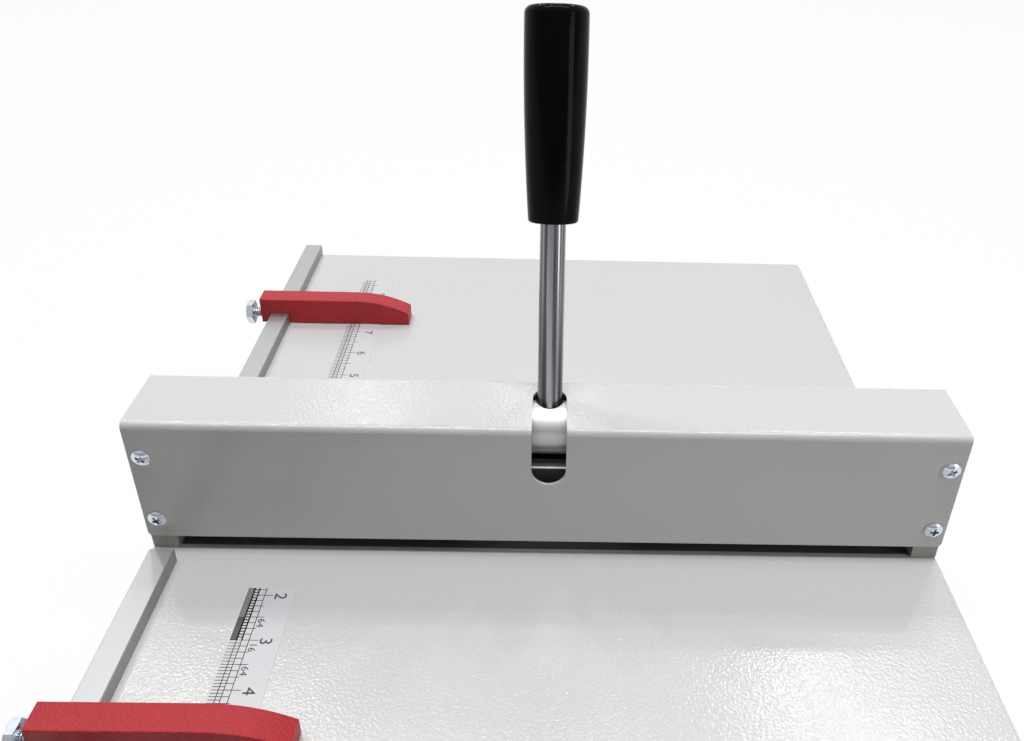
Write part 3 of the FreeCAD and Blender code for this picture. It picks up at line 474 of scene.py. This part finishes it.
def ink(name, shade):
    """Print on the film, slightly broken like screened ink."""
    finish = new_finish(name)
    grain = finish.noise(3000, detail=2)
    return finish.surface(
        Base_Color=finish.mix(grain, shade_of(shade, 0.8), shade_of(shade, 1.3)),
        Roughness=grain * 0.1 + 0.42,
    )


def matte_rubber(colours):
    """Matte moulded rubber."""
    finish = new_finish("matte_rubber")
    rubber = tuple(colours.rubber)
    grain = finish.noise(900, detail=3, rough=0.65)
    return finish.surface(
        Base_Color=finish.mix(grain, shade_of(rubber, 0.7), shade_of(rubber, 1.6)),
        Roughness=grain * 0.15 + 0.72,
        Normal=finish.bump(grain, 0.0001, 0.5),
    )


# Meshes


def finish_mesh(shape, name, body, material, smooth_angle=35):
    """Makes an object at the origin from a bmesh, smooth except at sharp edges, riding on a body."""
    bmesh.ops.recalc_face_normals(shape, faces=shape.faces)
    for face in shape.faces:
        face.smooth = True
    for edge in shape.edges:
        sharp = len(edge.link_faces) != 2 or edge.calc_face_angle(0) > math.radians(smooth_angle)
        edge.smooth = not sharp
    mesh = bpy.data.meshes.new(name)
    shape.to_mesh(mesh)
    shape.free()
    mesh.materials.append(material)
    piece = bpy.data.objects.new(name, mesh)
    bpy.context.scene.collection.objects.link(piece)
    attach(piece, body)
    return piece


def lathe(shape, profile, steps):
    """Spins a profile of (radius, height) points about the z axis and merges it shut."""
    spots = [shape.verts.new((radius, 0, height)) for radius, height in profile]
    edges = [shape.edges.new(pair) for pair in zip(spots, spots[1:])]
    bmesh.ops.spin(
        shape, geom=spots + edges, cent=(0, 0, 0), axis=(0, 0, 1), angle=TURN, steps=steps, use_merge=True
    )
    bmesh.ops.remove_doubles(shape, verts=shape.verts, dist=MERGE)
    bmesh.ops.recalc_face_normals(shape, faces=shape.faces)


def carve(shape, cutter, operation):
    """Combines two bmeshes with an exact boolean and returns the result as a new bmesh."""
    holders = []
    for part in (shape, cutter):
        mesh = bpy.data.meshes.new("carving")
        part.to_mesh(mesh)
        part.free()
        holder = bpy.data.objects.new("carving", mesh)
        bpy.context.scene.collection.objects.link(holder)
        holders.append(holder)
    modifier = holders[0].modifiers.new("carve", "BOOLEAN")
    modifier.operation = operation
    modifier.object = holders[1]
    modifier.solver = "EXACT"
    view = bpy.context.evaluated_depsgraph_get()
    result = bmesh.new()
    result.from_object(holders[0], view)
    for holder in holders:
        mesh = holder.data
        bpy.data.objects.remove(holder)
        bpy.data.meshes.remove(mesh)
    return result


def copies(shape, places):
    """A bmesh with one copy of a shape for each matrix."""
    mesh = bpy.data.meshes.new("copies")
    shape.to_mesh(mesh)
    shape.free()
    together = bmesh.new()
    for place in places:
        before = set(together.verts)
        together.from_mesh(mesh)
        fresh = [vert for vert in together.verts if vert not in before]
        bmesh.ops.transform(together, matrix=place, verts=fresh)
    bpy.data.meshes.remove(mesh)
    return together


def box_of(name):
    low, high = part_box(name)
    return low, high, (low + high) / 2


def solid_boxes(name):
    """Low and high corners of the separate solids in a node, found by walking along their edges."""
    shape = bmesh.new()
    shape.from_mesh(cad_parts[name].data)
    bmesh.ops.remove_doubles(shape, verts=shape.verts, dist=SOLID_MERGE)
    left = set(shape.verts)
    found = []
    while left:
        front = [left.pop()]
        group = list(front)
        while front:
            vert = front.pop()
            for edge in vert.link_edges:
                other = edge.other_vert(vert)
                if other in left:
                    left.remove(other)
                    front.append(other)
                    group.append(other)
        spots = [vert.co for vert in group]
        low = Vector(min(spot[axis] for spot in spots) for axis in range(3))
        high = Vector(max(spot[axis] for spot in spots) for axis in range(3))
        found.append((low, high))
    shape.free()
    return sorted(found, key=lambda pair: tuple(round(part, 6) for part in pair[0]))


# Operators


class CREASER_OT_frame_finishes(bpy.types.Operator):
    """Give every carried-over solid its finish"""

    bl_idname = "creaser.frame_finishes"
    bl_label = "Frame Finishes"

    def execute(self, context):
        colours = context.scene.creaser_finish
        lever = context.scene.creaser_lever
        by_slot = {
            "painted_steel": powder_coat("powder_coat", tuple(colours.paint)),
            "brushed_steel": polished_bar(colours),
            "zinc_plated_steel": zinc_plate(colours),
            "foot_rubber": matte_rubber(colours),
            "dark_steel": plain_metal("dark_steel", tuple(colours.black_oxide), 0.38, 900),
            "ground_steel": plain_metal("ground_steel", (0.42, 0.43, 0.45), 0.24, 1500, (0.03, 1, 1)),
            "bronze": plain_metal("bronze", (0.45, 0.30, 0.16), 0.38, 1200),
            "spring_steel": plain_metal("spring_steel", (0.24, 0.24, 0.26), 0.30, 1500),
            "guide_aluminium": drawn_aluminium(colours),
            "rule_film": printed_film(colours),
            "grip_plastic": polished_black(colours, lever.lean),
            "black_steel": plain_metal("black_steel", (0.03, 0.03, 0.034), 0.36, 1100),
            "stop_red": satin_red(colours),
        }
        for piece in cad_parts.values():
            slot = piece.data.materials[0].name
            piece.data.materials[0] = by_slot[slot]
        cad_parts["lever_rod"].data.materials[0] = ground_rod(colours, lever.lean)
        carrier = plain_metal("carrier_steel", tuple(colours.carrier_grey), 0.36, 900)
        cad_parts["blade_carrier"].data.materials[0] = carrier
        # the end plates get a darker powder coat than the cover: painted shade
        shaded_ends = powder_coat("end_plate_shaded_coat", tuple(colours.end_paint))
        for side in ("left", "right"):
            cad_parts[f"{side}_end_plate"].data.materials[0] = shaded_ends
        return {"FINISHED"}


def pan_head(screws, radius, head, length_below):
    """A pan-head screw along z: rim on z = 0, head up, with a cross recess."""
    body = bmesh.new()
    rim = head - screws.head_dome
    shank = radius * 0.5
    soft = radius * 0.06
    bend = (radius**2 + screws.head_dome**2) / (2 * screws.head_dome)
    profile = [(0, -length_below), (shank, -length_below), (shank, 0)]
    profile += [(radius - soft, 0), (radius, soft), (radius, rim)]
    reach = math.asin(radius / bend)
    for step in range(1, PAN_HEAD_STEPS):
        lean = reach * (1 - step / PAN_HEAD_STEPS)
        profile.append((bend * math.sin(lean), head - bend + bend * math.cos(lean)))
    profile.append((0, head))
    lathe(body, profile, 40)
    return carve(body, cross_cutter(screws, radius, head), "DIFFERENCE")


def cross_cutter(screws, radius, head):
    """Two crossed wings that narrow downwards, to cut a cross recess into a head."""
    span = radius * screws.recess_span
    narrowing = span * 0.45
    wings = []
    for turn in (0, math.pi / 2):
        wing = bmesh.new()
        spot = Matrix.Translation((0, 0, head)) @ Matrix.Rotation(turn, 4, "Z")
        size = Matrix.Diagonal((2 * span, screws.recess_width, 2 * screws.recess_depth, 1))
        bmesh.ops.create_cube(wing, size=1, matrix=spot @ size)
        for vert in wing.verts:
            outwards = Vector((vert.co.x, vert.co.y, 0))
            if vert.co.z < head and outwards.length > screws.recess_width:
                vert.co -= outwards.normalized() * narrowing
        wings.append(wing)
    return carve(wings[0], wings[1], "UNION")


def screw_set(context, node, axis):
    """Replaces a node of pan-head screws. The axis is the way their heads point."""
    screws = context.scene.creaser_screws
    up = Vector(axis)
    upright = up.to_track_quat("Z", "Y").to_matrix().to_4x4()
    along = max(range(3), key=lambda part: abs(up[part]))
    boxes = solid_boxes(node)
    size = boxes[0][1] - boxes[0][0]
    radius = max(size[part] for part in range(3) if part != along) / 2
    head = radius * PAN_HEAD_SHARE
    screw = pan_head(screws, radius, head, size[along] - head)
    places = []
    for index, (low, high) in enumerate(boxes):
        seat = (low + high) / 2
        top = high[along] if up[along] > 0 else low[along]
        seat[along] = top - up[along] * head
        spin = Matrix.Rotation(index * 2.1 + 0.5, 4, "Z")
        places.append(Matrix.Translation(seat) @ upright @ spin)
    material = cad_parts[node].data.materials[0]
    together = copies(screw, places)
    piece = finish_mesh(together, f"{node}_crosshead", BODY, material, 30)
    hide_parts(node)


class CREASER_OT_carrier_edges(bpy.types.Operator):
    """Bare metal along the carrier's upper edges and the joints of its wear strip, bright also as painted
    highlights of these edges
    """

    bl_idname = "creaser.carrier_edges"
    bl_label = "Carrier Edges"

    def execute(self, context):
        # bright steel on the edge chamfers and the wear strip's joints: bare metal, and painted highlights
        # of the edges
        worn = plain_metal("worn_steel", tuple(context.scene.creaser_finish.worn_steel), 0.34, 1500)
        low, high, middle = box_of("blade_carrier")
        strip_low, strip_high, _ = box_of("wear_strip")
        span = strip_high.x - strip_low.x
        thickness = 0.04 * MM
        chamfer = 0.5 * MM
        joint = 0.12 * MM
        shape = bmesh.new()
        for side, edge in ((-1, low.y), (1, high.y)):
            spot = Vector((middle.x, edge - side * chamfer / 2, strip_high.z - chamfer / 2))
            turn = Matrix.Rotation(-side * math.pi / 4, 4, "X")
            size = Matrix.Diagonal((span, chamfer * math.sqrt(2), thickness, 1))
            bmesh.ops.create_cube(shape, size=1, matrix=Matrix.Translation(spot) @ turn @ size)
        for edge in (strip_low.y, strip_high.y):
            spot = Vector((middle.x, edge, strip_high.z))
            size = Matrix.Diagonal((span, joint, thickness, 1))
            bmesh.ops.create_cube(shape, size=1, matrix=Matrix.Translation(spot) @ size)
        finish_mesh(shape, "carrier_edges", "blade_carriage", worn)
        return {"FINISHED"}


class CREASER_OT_return_springs(bpy.types.Operator):
    """Give each of the two return springs a mesh of its own"""

    bl_idname = "creaser.return_springs"
    bl_label = "Return Springs"

    def execute(self, context):
        for side in ("left", "right"):
            node = f"{side}_return_spring"
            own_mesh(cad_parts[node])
        return {"FINISHED"}


class CREASER_OT_gliding_strips(bpy.types.Operator):
    """Black strips on the table along both sides of the anvil, under the cover's lower edge, which make the
    gap under the cover look black
    """

    bl_idname = "creaser.gliding_strips"
    bl_label = "Dark Gap Strips"

    def execute(self, context):
        finish = new_finish("gliding_black")
        black = tuple(context.scene.creaser_finish.gliding_black)
        grain = finish.noise(1300, detail=2)
        material = finish.surface(
            Base_Color=finish.mix(grain, shade_of(black, 0.7), shade_of(black, 1.4)),
            Roughness=grain * 0.1 + 0.42,
            Specular_IOR_Level=0.3,
        )
        low, high, middle = box_of("anvil_bar")
        table_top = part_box("table_tray")[1].z
        gap = 0.2 * MM
        front_edge = -19.0 * MM
        rear_edge = 15.0 * MM
        thickness = 0.25 * MM
        shape = bmesh.new()
        for inner, outer in ((low.y - gap, front_edge), (high.y + gap, rear_edge)):
            spot = Vector((middle.x, (inner + outer) / 2, table_top + thickness / 2))
            size = Matrix.Diagonal((high.x - low.x - 2 * gap, abs(outer - inner), thickness, 1))
            bmesh.ops.create_cube(shape, size=1, matrix=Matrix.Translation(spot) @ size)
        bmesh.ops.bevel(
            shape,
            geom=shape.edges[:],
            offset=0.06 * MM,
            affect="EDGES",
            segments=1,
            profile=0.5,
            material=-1,
        )
        finish_mesh(shape, "gliding_strips", BODY, material)
        return {"FINISHED"}


class CREASER_OT_cover_screws(bpy.types.Operator):
    """Pan-head screws of the beam cover, with cross recesses"""

    bl_idname = "creaser.cover_screws"
    bl_label = "Cover Screws"

    def execute(self, context):
        screw_set(context, "front_cover_screws", (0, -1, 0))
        screw_set(context, "rear_cover_screws", (0, 1, 0))
        return {"FINISHED"}


class CREASER_OT_underside_screws(bpy.types.Operator):
    """Pan-head screws under the table and in the feet"""

    bl_idname = "creaser.underside_screws"
    bl_label = "Underside Screws"

    def execute(self, context):
        screw_set(context, "guide_bar_screws", (0, 0, -1))
        screw_set(context, "foot_screws", (0, 0, -1))
        return {"FINISHED"}


class CREASER_OT_clamp_screws(bpy.types.Operator):
    """Hexagon-headed clamp screws of the stops, with threaded shanks"""

    bl_idname = "creaser.clamp_screws"
    bl_label = "Clamp Screws"

    def execute(self, context):
        screws = context.scene.creaser_screws
        for end in ("front", "rear"):
            node = f"{end}_stop_screw"
            low, high, middle = box_of(node)
            screw = clamp_screw(screws, low, high)
            seat = Matrix.Translation((0, middle.y, middle.z)) @ Matrix.Rotation(-math.pi / 2, 4, "Y")
            bmesh.ops.transform(screw, matrix=seat, verts=screw.verts)
            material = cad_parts[node].data.materials[0]
            name = f"{end}_clamp_screw"
            piece = finish_mesh(screw, name, name, material, 28)
            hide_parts(node)
        return {"FINISHED"}


def hexagon_head(corner, flat, under, top):
    """A hexagonal prism whose corners are turned off at both ends."""
    prism = bmesh.new()
    middle = Matrix.Translation((0, 0, (top + under) / 2))
    depth = top - under
    bmesh.ops.create_cone(
        prism, cap_ends=True, segments=6, radius1=corner, radius2=corner, depth=depth, matrix=middle
    )
    clear = corner + 0.1 * MM
    slope = math.tan(math.radians(30))
    seat = flat * 0.9
    crown = flat * 0.94
    profile = [(0, under), (seat, under), (clear, under + (corner - seat) * slope * 0.5)]
    profile += [(clear, top - (corner - crown) * slope), (crown, top), (0, top)]
    turned = bmesh.new()
    lathe(turned, profile, 72)
    return carve(prism, turned, "INTERSECT")


def thread(radius, root, pitch, start, end):
    """A thread between two heights, as one V spun up the shank."""
    shape = bmesh.new()
    turns = math.floor((end - start) / pitch) - 1
    profile = ((root, 0, start), (radius, 0, start + pitch / 2), (root, 0, start + pitch))
    spots = [shape.verts.new(place) for place in profile]
    edges = [shape.edges.new(pair) for pair in zip(spots, spots[1:])]
    bmesh.ops.spin(
        shape,
        geom=spots + edges,
        cent=(0, 0, 0),
        axis=(0, 0, 1),
        dvec=(0, 0, pitch / THREAD_STEPS),
        angle=TURN * turns,
        steps=THREAD_STEPS * turns,
        use_merge=False,
    )
    bmesh.ops.remove_doubles(shape, verts=shape.verts, dist=MERGE)
    return shape


def clamp_screw(screws, low, high):
    """Screw whose head points up z: its place along z is minus its place along the machine's x."""
    top = -low.x
    under = top - screws.clamp_head
    tip = -high.x
    head = hexagon_head((high.z - low.z) / 2, (high.y - low.y) / 2, under, top)
    radius = screws.clamp_shank
    root = radius - screws.thread_depth
    core = bmesh.new()
    profile = [(0, tip), (root * 0.9, tip), (root, tip + 0.3 * MM), (root, under), (0, under)]
    lathe(core, profile, THREAD_STEPS)
    for part in (thread(radius, root, screws.thread_pitch, tip + 0.5 * MM, under - 0.1 * MM), core):
        mesh = bpy.data.meshes.new("part")
        part.to_mesh(mesh)
        part.free()
        head.from_mesh(mesh)
        bpy.data.meshes.remove(mesh)
    return head


class CREASER_OT_rule_print(bpy.types.Operator):
    """Inch marks, long lines, grey bands and numbers on the two rule strips"""

    bl_idname = "creaser.rule_print"
    bl_label = "Rule Print"

    def execute(self, context):
        colours = context.scene.creaser_finish
        black = ink("rule_ink", tuple(colours.ink))
        grey = ink("rule_grey", (0.20, 0.20, 0.205))
        dark = ink("rule_dark_grey", (0.075, 0.075, 0.08))
        rule = context.scene.creaser_rule
        for end, way in (("front", -1), ("rear", 1)):
            print_rule(rule, f"{end}_rule", way, black, grey, dark)
        return {"FINISHED"}


def print_rule(rule, name, way, black, grey, dark):
    """Prints one strip. The way is its direction from the crease line along y."""
    low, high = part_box(f"{name}_strip")
    left_edge = low.x
    top = high.z
    start = min(abs(low.y), abs(high.y))
    stop = max(abs(low.y), abs(high.y))

    def bar(shape, x0, x1, along_0, along_1):
        middle = ((x0 + x1) / 2 + left_edge, way * (along_0 + along_1) / 2, top + rule.ink_height / 2)
        size = Matrix.Diagonal((x1 - x0, abs(along_1 - along_0), rule.ink_height, 1))
        bmesh.ops.create_cube(shape, size=1, matrix=Matrix.Translation(middle) @ size)

    marks = bmesh.new()
    half = rule.line_stroke / 2
    for line in (rule.left_line, rule.middle_line, rule.right_line):
        bar(marks, line - half, line + half, start, stop)
    fine = FINE_INCHES * INCH
    half = rule.bold_stroke / 2
    for line in (rule.left_line, rule.middle_line):
        bar(marks, line - half, line + half, start, fine)
    division = INCH / SIXTEENTHS
    for count in range(math.ceil(start / division), math.floor(stop / division) + 1):
        along = count * division
        right = tick_end(rule, count)
        if along < fine:
            bar(marks, rule.left_line, rule.middle_line, along - half, along + half)
            left = rule.middle_line
        else:
            left = rule.band_left
        if right > left:
            bar(marks, left, right, along - rule.stroke / 2, along + rule.stroke / 2)
    finish_mesh(marks, f"{name}_marks", BODY, black)
    for label, material, near_end, far_end in (
        ("grey_band", grey, start, fine - INCH / 2),
        ("dark_band", dark, fine - INCH / 2, fine),
    ):
        band = bmesh.new()
        bar(band, rule.band_left, rule.left_line, near_end, far_end)
        finish_mesh(band, f"{name}_{label}", BODY, material)
    numbers = bmesh.new()
    for whole in range(math.ceil(start / INCH), math.floor(stop / INCH) + 1):
        spot = (left_edge + rule.numbers, way * whole * INCH - rule.number_shift, top)
        write_number(rule, numbers, str(whole), rule.number_height, spot)
    for text, place in SMALL_NUMBERS:
        spot = (left_edge + rule.right_line + rule.small_gap, way * place * INCH, top)
        write_number(rule, numbers, text, rule.small_height, spot)
    bmesh.ops.remove_doubles(numbers, verts=numbers.verts, dist=MERGE)
    finish_mesh(numbers, f"{name}_numbers", BODY, black)


def tick_end(rule, count):
    """Right end of the tick at a count of sixteenths of an inch."""
    if count % SIXTEENTHS == 0:
        return rule.inch_tick
    if count % 8 == 0:
        return rule.right_line + rule.half_inch
    if count % 4 == 0:
        return rule.right_line + rule.quarter_inch
    if count % 2 == 0:
        return rule.right_line
    return rule.middle_line


def write_number(rule, shape, text, height, spot):
    """Adds digits that read from the right, their feet at a spot's x and centred on its y."""
    rise = rule.ink_height / 2
    curve = bpy.data.curves.new("digits", "FONT")
    curve.body = text
    curve.size = height / DIGIT_SHARE
    curve.extrude = rise
    curve.align_x = "CENTER"
    holder = bpy.data.objects.new("digits", curve)
    bpy.context.scene.collection.objects.link(holder)
    view = bpy.context.evaluated_depsgraph_get()
    mesh = bpy.data.meshes.new_from_object(holder.evaluated_get(view))
    seat = Matrix.Translation((spot[0], spot[1], spot[2] + rise))
    mesh.transform(seat @ Matrix.Rotation(-math.pi / 2, 4, "Z") @ Matrix.Diagonal((rule.wide, 1, 1, 1)))
    shape.from_mesh(mesh)
    bpy.data.objects.remove(holder)
    bpy.data.curves.remove(curve)
    bpy.data.meshes.remove(mesh)


class CREASER_OT_stage(bpy.types.Operator):
    """Floor, light and the camera at the photograph's place"""

    bl_idname = "creaser.stage"
    bl_label = "Stage"

    def execute(self, context):
        stage = context.scene.creaser_stage
        make_floor(stage)
        make_world(context.scene, stage)
        make_lamps(stage)
        make_camera(context.scene, stage)
        context.scene.view_settings.view_transform = "Standard"
        return {"FINISHED"}


def seen_share(finish):
    """1 for a ray of the camera, a reflection or a refraction, and 0 for the rest."""
    path = finish.node("ShaderNodeLightPath").outputs
    share = Value(finish, path["Is Camera Ray"]) + Value(finish, path["Is Glossy Ray"])
    return finish.maths("ADD", share, Value(finish, path["Is Transmission Ray"]), clamp=True)


def make_floor(stage):
    """A wide pale floor that keeps the machine's shadow."""
    shape = bmesh.new()
    bmesh.ops.create_grid(shape, x_segments=1, y_segments=1, size=30)
    mesh = bpy.data.meshes.new("floor")
    shape.to_mesh(mesh)
    shape.free()
    floor = bpy.data.objects.new("floor", mesh)
    bpy.context.scene.collection.objects.link(floor)
    finish = new_finish("pale_floor")
    dull = finish.node("ShaderNodeBsdfDiffuse", inputs={"Color": tuple(stage.floor_bounce)}).outputs[0]
    pale = finish.node("ShaderNodeBsdfDiffuse", inputs={"Color": tuple(stage.floor_colour)}).outputs[0]
    white = finish.node("ShaderNodeEmission", inputs={"Color": (1, 1, 1), "Strength": 1.0}).outputs[0]
    seen = finish.node("ShaderNodeMixShader", inputs={0: stage.floor_glow, 1: pale, 2: white}).outputs[0]
    blend = finish.node("ShaderNodeMixShader", inputs={0: seen_share(finish), 1: dull, 2: seen})
    finish.node("ShaderNodeOutputMaterial", inputs={"Surface": blend.outputs[0]})
    mesh.materials.append(finish.owner)


def make_world(scene, stage):
    """A room that is white at the horizon, behind and above, and dim in front above the horizon."""
    world = bpy.data.worlds.new("studio")
    scene.world = world
    finish = Finish(world)
    spot = finish.node("ShaderNodeTexCoord").outputs["Generated"]
    parts = finish.node("ShaderNodeSeparateXYZ", inputs={0: spot}).outputs
    back = Value(finish, parts["Y"])
    height = Value(finish, parts["Z"])
    behind = back * 0.45 + height * 0.90
    stops = [(0.25, 0.15), (0.50, 0.45), (0.60, 0.85), (0.70, 1.0)]
    room = finish.ramp(behind * 0.5 + 0.5, stops)
    band = finish.ramp(height, [(0.03, 1.0), (0.12, 0.0)])
    seen_room = finish.mix(band, room, (1, 1, 1))
    above = height * 0.9 + back * 0.25
    light = finish.ramp(above * 0.5 + 0.5, [(0.50, 0.05), (0.65, 0.28), (0.95, 1.0)])
    soft = finish.node("ShaderNodeBackground", inputs={"Color": light, "Strength": stage.fill}).outputs[0]
    seen = finish.node("ShaderNodeBackground", inputs={"Color": seen_room, "Strength": 1.0}).outputs[0]
    both = finish.node("ShaderNodeMixShader", inputs={0: seen_share(finish), 1: soft, 2: seen}).outputs[0]
    finish.node("ShaderNodeOutputWorld", inputs={"Surface": both})


def make_lamps(stage):
    """A wide lamp above, small bright ones behind that make the coat sparkle, and one on the right."""
    cool = (0.965, 0.985, 1.0)
    plain = (1.0, 1.0, 1.0)
    above = (0.0, -0.08, 1.5)
    beam = (0.0, 0.0, 0.05)
    back = stage.back_power
    lamps = (
        ("overhead", above, (above[0], above[1], 0.0), 1.5, 0.26, stage.overhead_power, cool),
        ("back_left", (-0.74, 0.84, 1.38), beam, 0.05, 0.05, back * 0.17, plain),
        ("back_inner_left", (-0.50, 0.80, 1.42), beam, 0.05, 0.05, back * 0.17, plain),
        ("back_near", (-0.20, 0.72, 1.48), beam, 0.05, 0.05, back * 0.12, plain),
        ("back_near_middle", (0.13, 0.72, 1.48), beam, 0.05, 0.05, back * 0.12, plain),
        ("back_low_left", (-0.33, 1.12, 0.93), beam, 0.05, 0.05, back * 0.04, plain),
        ("back_low_middle", (0.00, 1.12, 0.93), beam, 0.05, 0.05, back * 0.035, plain),
        ("back_right", (0.59, 1.10, 1.48), beam, 0.08, 0.08, back * 0.23, plain),
        ("back_near_right", (0.75, 0.86, 1.45), beam, 0.06, 0.06, back * 0.17, plain),
        ("right", (0.55, -0.32, 0.30), (0.14, 0.0, 0.08), 0.2, 0.3, stage.side_power, plain),
    )
    for name, place, aim, width, height, power, shade in lamps:
        data = bpy.data.lights.new(name, "AREA")
        data.shape = "RECTANGLE"
        data.size = width
        data.size_y = height
        data.energy = power
        data.color = shade
        lamp = bpy.data.objects.new(name, data)
        bpy.context.scene.collection.objects.link(lamp)
        lamp.location = place
        lamp.rotation_mode = "QUATERNION"
        lamp.rotation_quaternion = (Vector(aim) - Vector(place)).to_track_quat("-Z", "Y")
        lamp.visible_camera = False


def make_camera(scene, stage):
    """The camera that the photograph was taken with."""
    picture = (1024, 741)
    sensor = 36.0
    data = bpy.data.cameras.new("camera")
    data.sensor_width = sensor
    data.lens = stage.focal_pixels / picture[0] * sensor
    data.shift_x = (picture[0] / 2 - stage.principal[0]) / picture[0]
    data.shift_y = (stage.principal[1] - picture[1] / 2) / picture[0]
    camera = bpy.data.objects.new("camera", data)
    scene.collection.objects.link(camera)
    turn = Euler((math.pi / 2 - stage.pitch, 0, -stage.yaw), "XYZ").to_matrix()
    camera.rotation_mode = "QUATERNION"
    camera.rotation_quaternion = (turn @ Matrix.Rotation(stage.roll, 3, "Z")).to_quaternion()
    camera.location = stage.camera_place
    data.clip_start = 0.01
    scene.camera = camera


class CREASER_PT_panel(bpy.types.Panel):
    """Pieces and settings of the creasing machine"""

    bl_idname = "CREASER_PT_panel"
    bl_label = "Creasing Machine"
    bl_space_type = "VIEW_3D"
    bl_region_type = "UI"
    bl_category = "Creaser"

    def draw(self, context):
        layout = self.layout
        for operator in OPERATORS:
            layout.operator(operator.bl_idname)
        for group in GROUPS:
            box = layout.box()
            settings = getattr(context.scene, group)
            for key in settings.bl_rna.properties.keys():
                if key not in ("rna_type", "name"):
                    box.prop(settings, key)


GROUPS = {
    "creaser_finish": FinishSettings,
    "creaser_rule": RuleSettings,
    "creaser_screws": ScrewSettings,
    "creaser_lever": LeverSettings,
    "creaser_stage": StageSettings,
}
OPERATORS = (
    CREASER_OT_frame_finishes,
    CREASER_OT_carrier_edges,
    CREASER_OT_return_springs,
    CREASER_OT_gliding_strips,
    CREASER_OT_cover_screws,
    CREASER_OT_underside_screws,
    CREASER_OT_clamp_screws,
    CREASER_OT_rule_print,
    CREASER_OT_stage,
)
CLASSES = (*GROUPS.values(), *OPERATORS, CREASER_PT_panel)


def register():
    for item in CLASSES:
        bpy.utils.register_class(item)
    for name, group in GROUPS.items():
        setattr(bpy.types.Scene, name, bpy.props.PointerProperty(type=group))


def unregister():
    for name in GROUPS:
        delattr(bpy.types.Scene, name)
    for item in reversed(CLASSES):
        bpy.utils.unregister_class(item)


def main():
    register()
    bpy.ops.creaser.frame_finishes()
    bpy.ops.creaser.carrier_edges()
    bpy.ops.creaser.return_springs()
    bpy.ops.creaser.gliding_strips()
    bpy.ops.creaser.cover_screws()
    bpy.ops.creaser.underside_screws()
    bpy.ops.creaser.clamp_screws()
    bpy.ops.creaser.rule_print()
    bpy.ops.creaser.stage()


if __name__ == "__main__":
    main()
